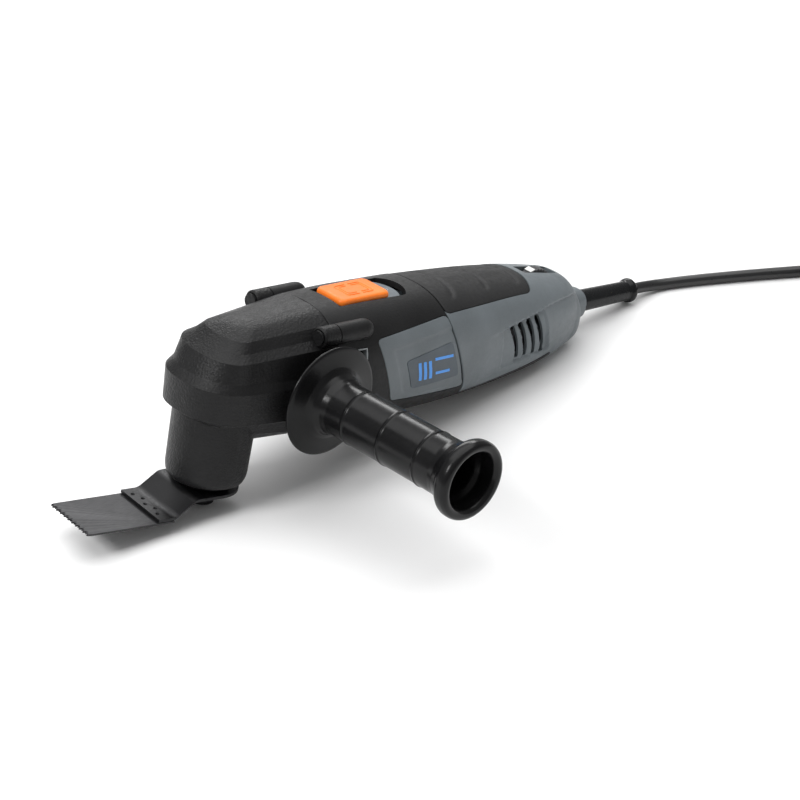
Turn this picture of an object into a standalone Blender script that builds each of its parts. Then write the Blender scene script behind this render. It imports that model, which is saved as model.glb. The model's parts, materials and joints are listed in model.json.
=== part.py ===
"""Oscillating multi tool with side handle, saw blade and mains cord.

The tool is drawn in its own frame, in millimetres: the origin is where the motor
shaft meets the spindle, +X points to the cord, +Y to the operator's right and +Z
up the spindle. Every mesh is scaled to metres when it is made. The tool frame hangs
on one empty that sets it down on the clamp screw's head and the belly.
"""
import math

import bmesh
import bpy
from mathutils import Matrix, Vector

MM = 0.001
GAP = 0.3
ROUND = 16
FINE_ROUND = 28

# Spindle, collar and gear head
COLLAR_RADIUS = 19.9
COLLAR_FLOOR = -46.6
HEAD_REAR = 47.2
BEARING_BORE = 13.3
HEAD_CAVITY_Y = 17.0
EAR_Y = 24.0
EAR_Z = 28.6
EAR_RADIUS = 5.2
EAR_FRONT = 38.0
EAR_END = 71.0
HANDLE_X = 40.2
ECCENTRIC_THROW = 0.7

# Body: x, half width, top and bottom of each cross-section
BODY = (
    (47.0, 30.8, 36.7, -26.3),
    (75.0, 32.6, 36.7, -27.2),
    (100.0, 33.0, 36.1, -27.8),
    (125.0, 32.8, 35.4, -27.6),
    (150.0, 31.7, 34.1, -26.6),
    (175.0, 29.8, 32.5, -24.7),
    (200.0, 27.4, 29.8, -21.7),
    (220.0, 23.6, 26.8, -18.0),
    (230.0, 20.2, 24.6, -16.0),
    (236.0, 17.6, 19.0, -14.6),
    (240.0, 15.0, 14.6, -12.6),
    (242.5, 9.9, 12.2, -6.8),
    (246.0, 9.2, 12.0, -5.4),
    (252.0, 8.0, 11.4, -4.4),
)
SECTION_POWER = 2.0 / 2.45
WALL = 3.0
FRONT_FACE = 47.8
SEAM_TOP = 122.5
SEAM_RAKE = 0.5
SEAM_CURVE = 15.0
PANEL_LENGTH = 52.0
SKIN = 1.7
SLOT_WIDTH = 2.9

# Switch and speed dial
PLATE_X = (62.0, 108.6)
PLATE_HALF_WIDTH = 10.8
PLATE_TOP = 33.8
KNOB_X = (65.2, 95.7)
KNOB_HALF_WIDTH = 9.7
KNOB_TOP = 37.8
SWITCH_TRAVEL = 8.0
DIAL_X = 214.0
DIAL_Z = 17.0
DIAL_RADIUS = 12.0
DIAL_HALF_WIDTH = 3.2

# Side handle, measured along -Y from the flange rim
HANDLE_Y = -34.1
HANDLE_LENGTH = 98.3

# Cord, coil and plug; the floor positions are counted from under the spindle
RELIEF_Z = 3.6
RELIEF_END = 296.0
CORD_RADIUS = 3.0
COIL_CENTRE = (395.5, -103.3)
COIL_MID_RADIUS = 35.0
COIL_HALF_WIDTH = 12.0
COIL_HEIGHT = 12.4
COIL_ENTRY_DEG = 57.7
PLUG_NECK = (449.0, -59.5)
PLUG_AXIS_Z = 6.9
PLUG_LENGTH = 36.0

# Moves the origin from under the spindle to the middle of the tool's footprint
FOOTPRINT_SHIFT = (-103.1, 49.7)

# Blade
BLADE_TWIST = math.radians(-8.0)
BLADE_WIDTH = 34.0
BLADE_REACH = 74.5
BLADE_UNDERSIDE = -60.2
TEETH = 10

# Resting attitude: nose up, standing on the clamp screw's head and the belly
SCREW_BOTTOM = -60.0
SCREW_EDGE = 5.4


# ---------------------------------------------------------------- scene helpers
def clear_scene():
    for obj in list(bpy.data.objects):
        bpy.data.objects.remove(obj, do_unlink=True)


def material(name, color, roughness, metallic=0.0):
    mat = bpy.data.materials.new(name)
    mat.use_nodes = True
    shader = mat.node_tree.nodes["Principled BSDF"]
    shader.inputs["Base Color"].default_value = (*color, 1.0)
    shader.inputs["Roughness"].default_value = roughness
    shader.inputs["Metallic"].default_value = metallic
    mat.diffuse_color = (*color, 1.0)
    return mat


def axis_empty(name, place, parent=None):
    empty = bpy.data.objects.new(name, None)
    empty.location = Vector(place) * MM
    empty.parent = parent
    bpy.context.scene.collection.objects.link(empty)
    return empty


def add(name, bm, mat, parent, origin=(0, 0, 0), smooth=35.0):
    """Link one solid, drawn in millimetres, with its origin at the given place."""
    bmesh.ops.translate(bm, verts=bm.verts, vec=-Vector(origin))
    bmesh.ops.scale(bm, verts=bm.verts, vec=(MM, MM, MM))
    bmesh.ops.recalc_face_normals(bm, faces=bm.faces)
    mesh = bpy.data.meshes.new(name)
    bm.to_mesh(mesh)
    bm.free()
    mesh.materials.append(mat)
    mesh.shade_smooth()
    mesh.set_sharp_from_angle(angle=math.radians(smooth))
    obj = bpy.data.objects.new(name, mesh)
    obj.location = Vector(origin) * MM
    obj.parent = parent
    bpy.context.scene.collection.objects.link(obj)
    return obj


def shape(target, name, bm, mat, operation="DIFFERENCE"):
    """Cut a hidden helper solid from a piece, or join it on."""
    helper = add(name, bm, mat, target.parent, target.location / MM)
    helper.hide_render = True
    helper.display_type = "WIRE"
    boolean = target.modifiers.new(name, "BOOLEAN")
    boolean.operation = operation
    boolean.object = helper


# ---------------------------------------------------------------- solid helpers
def skin(rings, closed=False):
    """Solid through rings of equal size, capped at its ends or closed on itself."""
    bm = bmesh.new()
    rows = [[bm.verts.new(point) for point in points] for points in rings]
    pairs = list(zip(rows, rows[1:]))
    if closed:
        pairs.append((rows[-1], rows[0]))
    for low, high in pairs:
        for i in range(len(low)):
            j = (i + 1) % len(low)
            bm.faces.new((low[i], low[j], high[j], high[i]))
    if not closed:
        bm.faces.new(rows[0])
        bm.faces.new(rows[-1])
    bmesh.ops.recalc_face_normals(bm, faces=bm.faces)
    return bm


def on_axis(axis, height, u, v):
    return {"X": (height, u, v), "Y": (v, height, u), "Z": (u, v, height)}[axis]


def turned(profile, axis="Z", steps=ROUND, centre=(0, 0), closed=False):
    """Turned solid from (radius, height) pairs; closed makes a ring of them."""
    rings = []
    for radius, height in profile:
        points = []
        for k in range(steps):
            angle = 2 * math.pi * k / steps
            u = centre[0] + radius * math.cos(angle)
            v = centre[1] + radius * math.sin(angle)
            points.append(on_axis(axis, height, u, v))
        rings.append(points)
    return skin(rings, closed)


def tube(outer, inner, low, high, axis="Z", steps=ROUND, centre=(0, 0), lip=0.4):
    """Ring with small chamfers on its outer edges."""
    profile = [(inner, low), (outer - lip, low), (outer, low + lip)]
    profile += [(outer, high - lip), (outer - lip, high), (inner, high)]
    return turned(profile, axis, steps, centre, closed=True)


def block(low, high, bevel=0.0):
    bm = bmesh.new()
    bmesh.ops.create_cube(bm, size=1.0)
    size = [b - a for a, b in zip(low, high)]
    middle = [(a + b) / 2 for a, b in zip(low, high)]
    bmesh.ops.scale(bm, verts=bm.verts, vec=size)
    bmesh.ops.translate(bm, verts=bm.verts, vec=middle)
    if bevel:
        bmesh.ops.bevel(bm, geom=bm.edges[:], offset=bevel, segments=1, affect="EDGES")
    return bm


def prism(outline, low, high):
    """Outline in the XY plane, drawn up from low to high."""
    return skin([[(x, y, low) for x, y in outline], [(x, y, high) for x, y in outline]])


def merged(*pieces):
    """Several separate solids in one mesh, for use as one cutter."""
    whole = bmesh.new()
    for bm in pieces:
        mesh = bpy.data.meshes.new("piece")
        bm.to_mesh(mesh)
        bm.free()
        whole.from_mesh(mesh)
        bpy.data.meshes.remove(mesh)
    return whole


def mirrored(bm, side):
    """The solid as it is for the left side, or its mirror image for the right."""
    bmesh.ops.scale(bm, verts=bm.verts, vec=(1, side, 1))
    bmesh.ops.recalc_face_normals(bm, faces=bm.faces)
    return bm


def arc(centre, radius, start, end, steps):
    points = []
    for k in range(steps + 1):
        angle = math.radians(start + (end - start) * k / steps)
        points.append((centre[0] + radius * math.cos(angle), centre[1] + radius * math.sin(angle)))
    return points


def rounded_rectangle(half_x, half_y, radius, steps=4, centre=(0, 0)):
    points = []
    for sx, sy, start in ((1, 1, 0), (-1, 1, 90), (-1, -1, 180), (1, -1, 270)):
        corner = (centre[0] + sx * (half_x - radius), centre[1] + sy * (half_y - radius))
        points += arc(corner, radius, start, start + 90, steps)
    return points


# ---------------------------------------------------------------- body surface
def smooth_step(t):
    return t * t * (3 - 2 * t)


def body_section(x):
    """Half width, top and bottom of the body at x, on a smooth curve."""
    x = min(max(x, BODY[0][0]), BODY[-1][0])
    k = 0
    while k < len(BODY) - 2 and x > BODY[k + 1][0]:
        k += 1
    p0, p1 = BODY[max(k - 1, 0)], BODY[k]
    p2, p3 = BODY[k + 1], BODY[min(k + 2, len(BODY) - 1)]
    span = p2[0] - p1[0]
    t = (x - p1[0]) / span
    values = []
    for i in (1, 2, 3):
        m1 = (p2[i] - p0[i]) / (p2[0] - p0[0]) * span
        m2 = (p3[i] - p1[i]) / (p3[0] - p1[0]) * span
        rise = p2[i] - p1[i]
        values.append(p1[i] + smooth_step(t) * rise + t * (1 - t) * ((1 - t) * m1 - t * m2))
    return values


def body_point(x, angle, offset=0.0):
    """Point on the body at an angle from the top towards the left side."""
    half_width, top, bottom = body_section(x)
    middle, half_height = (top + bottom) / 2, (top - bottom) / 2
    s, c = math.sin(math.radians(angle)), math.cos(math.radians(angle))
    y = -math.copysign(abs(s) ** SECTION_POWER, s) * (half_width + offset)
    z = middle + math.copysign(abs(c) ** SECTION_POWER, c) * (half_height + offset)
    return (x, y, z)


def seam_x(angle):
    """Where the motor housing meets the rear housing, raked back towards the belly."""
    drop = body_point(SEAM_TOP, 0)[2] - body_point(SEAM_TOP, angle)[2]
    return SEAM_TOP + SEAM_RAKE * (math.hypot(drop, SEAM_CURVE) - SEAM_CURVE)


def body_ring(start, end, share, offset, steps=FINE_ROUND):
    points = []
    for k in range(steps):
        angle = 360.0 * (k + 0.5) / steps
        x = start(angle) + (end(angle) - start(angle)) * share
        points.append(body_point(x, angle, offset))
    return points


def patch(x_limits, angle_limits, depth, grid=(8, 8), grow=0.0):
    """Curved panel lying on the body, between limits that are functions."""
    rows = []
    degrees = grow * 1.8
    for i in range(grid[0] + 1):
        row = []
        for j in range(grid[1] + 1):
            u, v = i / grid[0], j / grid[1]
            x = SEAM_TOP
            for _ in range(3):
                first, last = angle_limits[0](x) - degrees, angle_limits[1](x) + degrees
                angle = first + (last - first) * v
                start, end = x_limits[0](angle) - grow, x_limits[1](angle) + grow
                x = start + (end - start) * u
            row.append((x, angle))
        rows.append(row)
    return closed_sheet(rows, depth)


def closed_sheet(rows, depth):
    """Closed solid between two offsets of the body over a grid of (x, angle)."""
    bm = bmesh.new()
    layers = []
    for offset in depth:
        layers.append([[bm.verts.new(body_point(x, a, offset)) for x, a in row] for row in rows])
    for layer in layers:
        for i in range(len(rows) - 1):
            for j in range(len(rows[0]) - 1):
                quad = (layer[i][j], layer[i + 1][j], layer[i + 1][j + 1], layer[i][j + 1])
                bm.faces.new(quad)
    rim = [(0, j) for j in range(len(rows[0]))]
    rim += [(i, len(rows[0]) - 1) for i in range(1, len(rows))]
    rim += [(len(rows) - 1, j) for j in range(len(rows[0]) - 2, -1, -1)]
    rim += [(i, 0) for i in range(len(rows) - 2, 0, -1)]
    for (i, j), (m, n) in zip(rim, rim[1:] + rim[:1]):
        bm.faces.new((layers[0][i][j], layers[0][m][n], layers[1][m][n], layers[1][i][j]))
    bmesh.ops.recalc_face_normals(bm, faces=bm.faces)
    return bm


# ---------------------------------------------------------------- gear head
# Stacked plan outlines from the belly up: height at nose and rear, nose x,
# centre of the nose curve, half width at the nose and at the rear
HEAD_TIERS = (
    (-23.0, -25.8, -13.0, 1.0, 13.0, 15.0),
    (-17.0, -21.5, -16.0, 0.0, 17.0, 23.5),
    (-10.5, -14.5, -20.0, 0.0, 20.5, 27.6),
    (-8.5, -12.0, -23.6, 0.0, 25.0, 28.6),
    (7.5, 5.5, -24.4, 0.0, 26.0, 30.6),
    (20.5, 24.0, -16.6, -1.0, 22.8, 27.6),
    (28.4, 31.8, -6.4, 3.0, 15.4, 19.4),
    (32.2, 35.6, 1.0, 10.0, 9.4, 12.6),
    (33.8, 36.9, 8.0, 17.0, 3.2, 5.0),
)


def head_outline(tier, inset=0.0, rear=HEAD_REAR, nose_steps=8, side_steps=4):
    """One D-shaped plan outline, from the rear left corner round the nose."""
    low, high, nose, middle, half_nose, half_rear = tier
    half = []
    for k in range(nose_steps + 1):
        angle = math.radians(90.0 * k / nose_steps)
        x = middle - (middle - nose - inset) * math.cos(angle) ** 0.85
        half.append((x, (half_nose - inset) * math.sin(angle) ** 0.85))
    for k in range(1, side_steps + 1):
        share = k / side_steps
        x = middle + (rear - middle) * share
        half.append((x, half_nose + (half_rear - half_nose) * share - inset))
    outline = [(x, -y) for x, y in reversed(half)] + half[1:]
    return [(x, y, low + (high - low) * (x - nose) / (rear - nose)) for x, y in outline]


def gear_housing(mats, tool):
    """Black casing round the spindle, with the collar, ears and handle bosses."""
    head = add("gear_housing", skin([head_outline(t) for t in HEAD_TIERS]), mats["head"], tool)
    r, floor = COLLAR_RADIUS, COLLAR_FLOOR
    collar = [(r - 3.2, floor), (r - 1.2, floor + 1.0), (r - 0.3, floor + 3.4)]
    collar += [(r, floor + 6.0), (r + 0.7, -6.0)]
    shape(head, "collar_form", turned(collar, steps=FINE_ROUND), mats["head"], "UNION")
    for side, name in ((1, "left"), (-1, "right")):
        ear = turned([(EAR_RADIUS, EAR_FRONT), (EAR_RADIUS, HEAD_REAR)], "X", 16, (-EAR_Y, EAR_Z))
        shape(head, f"ear_form_{name}", mirrored(ear, side), mats["head"], "UNION")
        boss = turned([(6.6, -26.0), (6.6, -31.3)], "Y", 16, (0, HANDLE_X))
        shape(head, f"handle_boss_form_{name}", mirrored(boss, side), mats["head"], "UNION")
    cavity = block((-12.5, -HEAD_CAVITY_Y, -12.0), (60.0, HEAD_CAVITY_Y, 18.0))
    shape(head, "head_cavity", cavity, mats["head"])
    bore = turned([(BEARING_BORE, floor - 5.0), (BEARING_BORE, -5.0)])
    shape(head, "spindle_bore", bore, mats["head"])
    shape(head, "upper_bearing_seat", turned([(9.3, 10.0), (9.3, 25.3)]), mats["head"])
    cutters = []
    for side in (1, -1):
        stud = turned([(4.2, -40.0), (4.2, -10.0)], "Y", 20, (0, HANDLE_X))
        screw = turned([(3.7, 30.0), (3.7, 41.0)], "X", 16, (-EAR_Y, EAR_Z))
        hole = turned([(2.1, 40.0), (2.1, 60.0)], "X", 12, (-EAR_Y, EAR_Z))
        cutters += [mirrored(bm, side) for bm in (stud, screw, hole)]
    for k, bm in enumerate(cutters):
        shape(head, f"head_hole_{k}", bm, mats["head"])
    return head


def ear_screws(mats, tool):
    for side, name in ((1, "left"), (-1, "right")):
        centre = (-EAR_Y, EAR_Z)
        profile = [(3.0, 38.9), (3.3, 39.3), (3.3, 40.7), (1.75, 40.7), (1.75, 62.0)]
        screw = add(f"head_screw_{name}", mirrored(turned(profile, "X", 16, centre), side),
                    mats["steel"], tool)
        bars = []
        for wide, tall in ((1.9, 0.45), (0.45, 1.9)):
            low = (37.0, -EAR_Y - wide, EAR_Z - tall)
            bars.append(block(low, (40.0, -EAR_Y + wide, EAR_Z + tall)))
        for k, bar in enumerate(bars):
            shape(screw, f"cross_slot_{name}_{k}", mirrored(bar, side), mats["steel"])


# ---------------------------------------------------------------- spindle group
def fork_outline():
    """Rocker hub with two fingers that straddle the eccentric bearing."""
    hub = arc((0, 0), 9.5, 60, 300, 12)
    return hub + [(15.0, -13.6), (31.5, -13.6), (31.5, -9.9), (17.0, -9.9),
                  (12.5, -6.0), (12.5, 6.0), (17.0, 9.9), (31.5, 9.9),
                  (31.5, 13.6), (15.0, 13.6)]


def spindle_group(mats, tool):
    spindle = axis_empty("spindle_axis", (0, 0, 0), tool)
    shaft = [(4.2, -46.8), (5.9, -46.4), (5.9, 5.5), (4.0, 6.3), (4.0, 23.6), (3.6, 24.0)]
    shaft = add("spindle_shaft", turned(shaft), mats["steel"], spindle)
    shape(shaft, "screw_bore", turned([(3.2, -60.0), (3.2, -30.0)], steps=16), mats["steel"])
    fork = add("rocker_fork", prism(fork_outline(), -6.0, 5.0), mats["steel"], spindle)
    shape(fork, "fork_bore", turned([(6.2, -20.0), (6.2, 20.0)]), mats["steel"])
    tool_flange(mats, spindle)
    clamp_set(mats, spindle)
    twist = axis_empty("blade_turn", (0, 0, 0), spindle)
    twist.rotation_euler = (0, 0, BLADE_TWIST)
    arbor_plate(mats, twist)
    saw_blade(mats, twist)
    return spindle


def tool_flange(mats, spindle):
    profile = [(3.3, -49.3), (12.4, -49.3), (13.2, -48.9), (13.2, -48.2)]
    profile += [(11.4, -47.2), (3.3, -47.2)]
    flange = add("tool_flange", turned(profile, closed=True), mats["dark_steel"], spindle)
    for k in range(6):
        angle = BLADE_TWIST + math.radians(60 * k)
        centre = (10.2 * math.cos(angle), 10.2 * math.sin(angle))
        pin = turned([(0.9, -50.9), (0.9, -48.4)], steps=6, centre=centre)
        shape(flange, f"flange_pin_{k}", pin, mats["dark_steel"], "UNION")


def clamp_set(mats, spindle):
    washer = [(3.4, -53.0), (8.2, -53.0), (8.8, -52.6), (8.8, -51.5), (3.4, -51.5)]
    add("clamp_washer", turned(washer, closed=True), mats["steel"], spindle)
    profile = [(SCREW_EDGE, SCREW_BOTTOM), (6.2, SCREW_BOTTOM + 0.8), (6.2, -53.3)]
    profile += [(2.9, -53.3), (2.9, -33.0)]
    screw = add("clamp_screw", turned(profile), mats["steel"], spindle)
    socket = turned([(3.0, -63.0), (3.0, -56.0)], steps=6)
    shape(screw, "hex_socket", socket, mats["steel"])


def arbor_plate(mats, twist):
    """Cranked plate that carries the blade: up at the spindle, down at the sheet."""
    half = BLADE_WIDTH / 2
    upper, lower, thick = -49.6, -57.4, 1.5
    outline = [(-15.0, upper), (-25.5, lower), (-35.0, lower)]
    under = [(-35.0, lower - thick), (-26.2, lower - thick), (-15.8, upper - thick)]
    crank = [(x, z) for x, z in outline] + under
    rings = [[(x, y, z) for x, z in crank] for y in (-half, half)]
    plate = add("arbor_plate", skin(rings), mats["dark_steel"], twist)
    end = [(-15.4, -half), (0, -half)] + arc((0, 0), half, -90, 90, 20)[1:-1]
    end += [(0, half), (-15.4, half)]
    shape(plate, "arbor_end", prism(end, upper - thick, upper), mats["dark_steel"], "UNION")
    holes = [turned([(4.6, -55.0), (4.6, -45.0)], steps=24)]
    for k in range(6):
        angle = math.radians(60 * k)
        centre = (10.2 * math.cos(angle), 10.2 * math.sin(angle))
        holes.append(turned([(1.3, -55.0), (1.3, -45.0)], steps=6, centre=centre))
    shape(plate, "arbor_holes", merged(*holes), mats["dark_steel"])


def saw_blade(mats, twist):
    half, reach = BLADE_WIDTH / 2, BLADE_REACH
    pitch = BLADE_WIDTH / TEETH
    outline = [(-26.0, half), (-26.0, -half)]
    for k in range(TEETH):
        y = -half + pitch * k
        outline += [(-reach + 2.6, y + 0.02), (-reach, y + 0.30 * pitch)]
        outline += [(-reach + 1.5, y + 0.55 * pitch), (-reach + 0.5, y + 0.8 * pitch)]
    outline.append((-reach + 2.6, half))
    add("saw_blade", prism(outline, BLADE_UNDERSIDE, BLADE_UNDERSIDE + 1.0), mats["blade"], twist)


def spindle_bearings(mats, tool):
    for name, outer, inner, low, high in (
        ("spindle_bearing_lower", 13.0, 6.2, -44.0, -36.0),
        ("spindle_bearing_upper", 9.0, 4.3, 18.3, 24.3),
    ):
        add(name, tube(outer, inner, low, high), mats["bearing"], tool)
    add("dust_seal", tube(13.0, 6.3, -46.6, -44.4, lip=0.3), mats["rubber"], tool)


# ---------------------------------------------------------------- motor housing
def housing_front(_angle):
    return FRONT_FACE


def before_seam(angle):
    return seam_x(angle) - GAP


def after_seam(angle):
    return seam_x(angle) + GAP


def panel_top(x):
    return 53.0 - 0.15 * (x - 74.0)


def panel_bottom(x):
    return 109.0 + 0.19 * (x - 87.0)


def panel_front(angle):
    return seam_x(angle) - PANEL_LENGTH


def plate_front(angle):
    return seam_x(angle) - 37.0


def plate_rear(angle):
    return seam_x(angle) - 2.8


def plate_outline(grow=0.0):
    """Switch plate: square at the front, with an arc at the rear."""
    half, front, rear = PLATE_HALF_WIDTH + grow, PLATE_X[0] - grow, PLATE_X[1] + grow
    sag = 5.0
    radius = (half * half + sag * sag) / (2 * sag)
    reach = math.degrees(math.asin(half / radius))
    bow = arc((rear - radius, 0), radius, -reach, reach, 8)
    return [(front, half), (front, -half)] + bow


def motor_housing(mats, tool):
    """Black shell round the motor, open at both ends."""
    shares = (0.0, 0.25, 0.5, 0.75, 1.0)
    outer = [body_ring(housing_front, before_seam, s, 0.0) for s in shares]
    inner = [body_ring(housing_front, before_seam, s, -WALL) for s in reversed(shares)]
    shell = add("motor_housing", skin(outer + inner, closed=True), mats["body"], tool)
    for side, name in ((1, "left"), (-1, "right")):
        profile = [(EAR_RADIUS, FRONT_FACE), (EAR_RADIUS, EAR_END - 5.0)]
        profile += [(EAR_RADIUS * 0.9, EAR_END - 2.2), (EAR_RADIUS * 0.5, EAR_END)]
        ear = turned(profile, "X", 16, (-EAR_Y, EAR_Z))
        shape(shell, f"rear_ear_{name}", mirrored(ear, side), mats["body"], "UNION")
        seat = patch((panel_front, seam_ahead), (panel_top, panel_bottom), (-SKIN - GAP, 4.0),
                     grow=GAP)
        shape(shell, f"panel_seat_{name}", mirrored(seat, side), mats["body"])
        window = patch((window_start, window_end), (window_top, window_low), (-8.0, 6.0), (2, 2))
        shape(shell, f"side_window_{name}", mirrored(window, side), mats["body"])
        tunnel = turned([(2.1, 40.0), (2.1, 64.0)], "X", 12, (-EAR_Y, EAR_Z))
        shape(shell, f"screw_tunnel_{name}", mirrored(tunnel, side), mats["body"])
    opening = prism(plate_outline(GAP), 24.0, 45.0)
    shape(shell, "switch_opening", opening, mats["body"])


def seam_ahead(angle):
    return seam_x(angle) + 3.0


def window_start(_angle):
    return 59.6


def window_end(_angle):
    return 66.2


def window_top(_x):
    return 64.0


def window_low(_x):
    return 76.0


def window_frames(mats, tool):
    """Small rectangular bezels in the sides of the motor housing."""
    for side, name in ((1, "left"), (-1, "right")):
        frame = patch((window_start, window_end), (window_top, window_low), (-2.6, 0.2), (2, 2),
                      grow=-GAP)
        bezel = add(f"side_window_frame_{name}", mirrored(frame, side), mats["trim"], tool)
        hole = patch((window_start, window_end), (window_top, window_low), (-8.0, 6.0), (2, 2),
                     grow=-1.0)
        shape(bezel, f"side_window_hole_{name}", mirrored(hole, side), mats["trim"])


def side_panels(mats, tool):
    for side, name in ((1, "left"), (-1, "right")):
        skin_piece = patch((panel_front, before_seam), (panel_top, panel_bottom), (-SKIN, 0.0),
                           (5, 7))
        panel = add(f"side_panel_{name}", mirrored(skin_piece, side), mats["gray"], tool)
        seat = patch((plate_front, plate_rear), (badge_top, badge_low), (-0.9, 3.0), (4, 4),
                     grow=GAP)
        shape(panel, f"badge_seat_{name}", mirrored(seat, side), mats["gray"])
        badge = patch((plate_front, plate_rear), (badge_top, badge_low), (-0.6, -0.15), (4, 4))
        add(f"badge_{name}", mirrored(badge, side), mats["badge"], tool)


def badge_top(_x):
    return 78.0


def badge_low(_x):
    return 100.5


# ---------------------------------------------------------------- rear housing
def grip_first(x):
    return -grip_last(x)


def grip_last(x):
    return 45.8 - 0.115 * (x - 124.0)


def grip_end(angle):
    return 197.0 - 0.004 * angle * angle


def belly_first(x):
    return 129.5 - 0.11 * (x - 145.0)


def belly_last(x):
    return 360.0 - belly_first(x)


def belly_end(_angle):
    return 213.5


def rear_housing(mats, tool):
    """Gray cup behind the seam, with the boss for the strain relief."""
    full = BODY[-1][0]
    outer = [body_ring(after_seam, rear_start, s, 0.0) for s in (0.0, 0.33, 0.66, 1.0)]
    for x in (210.0, 220.0, 229.0, 234.0, 238.0, 240.5, 242.5, 245.0, full):
        outer.append(flat_ring(x, 0.0))
    inner = [flat_ring(x, -WALL) for x in (240.0, 234.0, 226.0, 214.0)]
    inner += [body_ring(after_seam, rear_start, s, -WALL) for s in (1.0, 0.66, 0.33, 0.0)]
    shell = add("rear_housing", skin([outer[-1]] + outer[-2::-1] + inner[::-1]), mats["gray"], tool)
    cord_hole = turned([(5.9, 230.0), (5.9, 270.0)], "X", 24, (0, RELIEF_Z))
    shape(shell, "relief_hole", cord_hole, mats["gray"])
    grip_seat = patch((seam_behind, grip_end), (grip_first, grip_last), (-SKIN - GAP, 4.0),
                      (6, 12), GAP)
    shape(shell, "grip_seat", grip_seat, mats["gray"])
    belly_seat = patch((seam_behind, belly_end), (belly_first, belly_last), (-SKIN - GAP, 4.0),
                       (5, 12), GAP)
    shape(shell, "belly_seat", belly_seat, mats["gray"])
    dial_slot = block((DIAL_X - 12.6, -4.6, 20.0), (DIAL_X + 12.6, 4.6, 40.0))
    shape(shell, "dial_slot", dial_slot, mats["gray"])
    for side, name in ((1, "left"), (-1, "right")):
        slots = [mirrored(vent_slot(k), side) for k in range(4)]
        shape(shell, f"vents_{name}", merged(*slots), mats["gray"])


def flat_ring(x, offset):
    return [body_point(x, 360.0 * (k + 0.5) / FINE_ROUND, offset) for k in range(FINE_ROUND)]


def rear_start(_angle):
    return 200.0


def seam_behind(angle):
    return seam_x(angle) - 3.0


def vent_slot(k):
    """One raked and slightly bowed cooling slot through the side wall."""
    top_x, top_z = 170.7 + 6.8 * k, 13.2 + 0.6 * k
    low_x, low_z = 179.5 + 7.1 * k, -6.0 - 0.3 * k
    bow_x, bow_z = (top_x + low_x) / 2 - 0.9, (top_z + low_z) / 2
    rings = []
    for y in (-36.0, -18.0):
        ring = [(top_x, y, top_z), (top_x + SLOT_WIDTH, y, top_z + 0.6)]
        ring += [(bow_x + SLOT_WIDTH, y, bow_z), (low_x + SLOT_WIDTH, y, low_z)]
        ring += [(low_x, y, low_z - 0.4), (bow_x, y, bow_z)]
        rings.append(ring)
    return skin(rings)


def rear_skins(mats, tool):
    grip = patch((after_seam, grip_end), (grip_first, grip_last), (-SKIN, 0.0), (7, 12))
    add("rear_top_grip", grip, mats["grip"], tool)
    belly = patch((after_seam, belly_end), (belly_first, belly_last), (-SKIN, 0.0), (6, 12))
    add("belly_strip", belly, mats["grip"], tool)


# ---------------------------------------------------------------- switch and dial
def switch_parts(mats, tool):
    floor, travel = PLATE_TOP, SWITCH_TRAVEL
    plate = add("switch_plate", prism(plate_outline(), floor - 2.0, floor), mats["slate"], tool)
    slot = block((74.0 - 1.0, -4.4, 20.0), (82.0 + travel + 1.0, 4.4, 45.0))
    shape(plate, "switch_slot", slot, mats["slate"])
    slider = axis_empty("switch_axis", ((KNOB_X[0] + KNOB_X[1]) / 2, 0, floor), tool)
    middle = slider.location.x / MM
    half = (KNOB_X[1] - KNOB_X[0]) / 2
    rings = []
    for inset, z in ((0.8, 34.1), (0.0, 34.9), (0.2, 36.5), (1.0, 37.3), (3.0, KNOB_TOP)):
        ring = rounded_rectangle(half - inset, KNOB_HALF_WIDTH - inset, 3.4 - inset * 0.5)
        rings.append([(x + middle, y, z) for x, y in ring])
    knob = add("switch_knob", skin(rings), mats["orange"], tool)
    stem = block((74.0, -4.0, 30.2), (82.0, 4.0, 35.5))
    shape(knob, "knob_stem", stem, mats["orange"], "UNION")
    add("switch_link", block((76.0, -4.0, 27.6), (158.0, 4.0, 29.9), 0.4), mats["slate"], tool)
    body = block((150.0, -9.0, 6.0), (176.0, 9.0, 28.5), 0.8)
    switch_body = add("switch_body", body, mats["dark_plastic"], tool)
    window = block((155.0 - travel, -5.0, 26.0), (168.0 + travel, 5.0, 32.0))
    shape(switch_body, "switch_window", window, mats["dark_plastic"])


def speed_dial(mats, tool):
    empty = axis_empty("dial_axis", (DIAL_X, 0, DIAL_Z), tool)
    half, r = DIAL_HALF_WIDTH, DIAL_RADIUS
    rings = []
    for y, radius in ((-half, r - 0.8), (-half + 0.6, r), (half - 0.6, r), (half, r - 0.8)):
        ring = []
        for k in range(36):
            angle = 2 * math.pi * k / 36
            dent = 0.45 if k % 2 else 0.0
            ring.append(((radius - dent) * math.sin(angle), y, (radius - dent) * math.cos(angle)))
        rings.append(ring)
    wheel = add("speed_dial", skin(rings), mats["dark_plastic"], empty, smooth=20.0)
    bore = turned([(2.3, -9.0), (2.3, 9.0)], "Y", 12)
    shape(wheel, "dial_bore", bore, mats["dark_plastic"])
    pin = turned([(1.9, -6.6), (1.9, 6.6)], "Y", 12, (DIAL_Z, DIAL_X))
    add("dial_pin", pin, mats["steel"], tool)
    controller = block((184.0, -12.0, -14.0), (208.0, 12.0, 3.5), 0.8)
    add("speed_controller", controller, mats["dark_plastic"], tool)
    return empty


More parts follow.
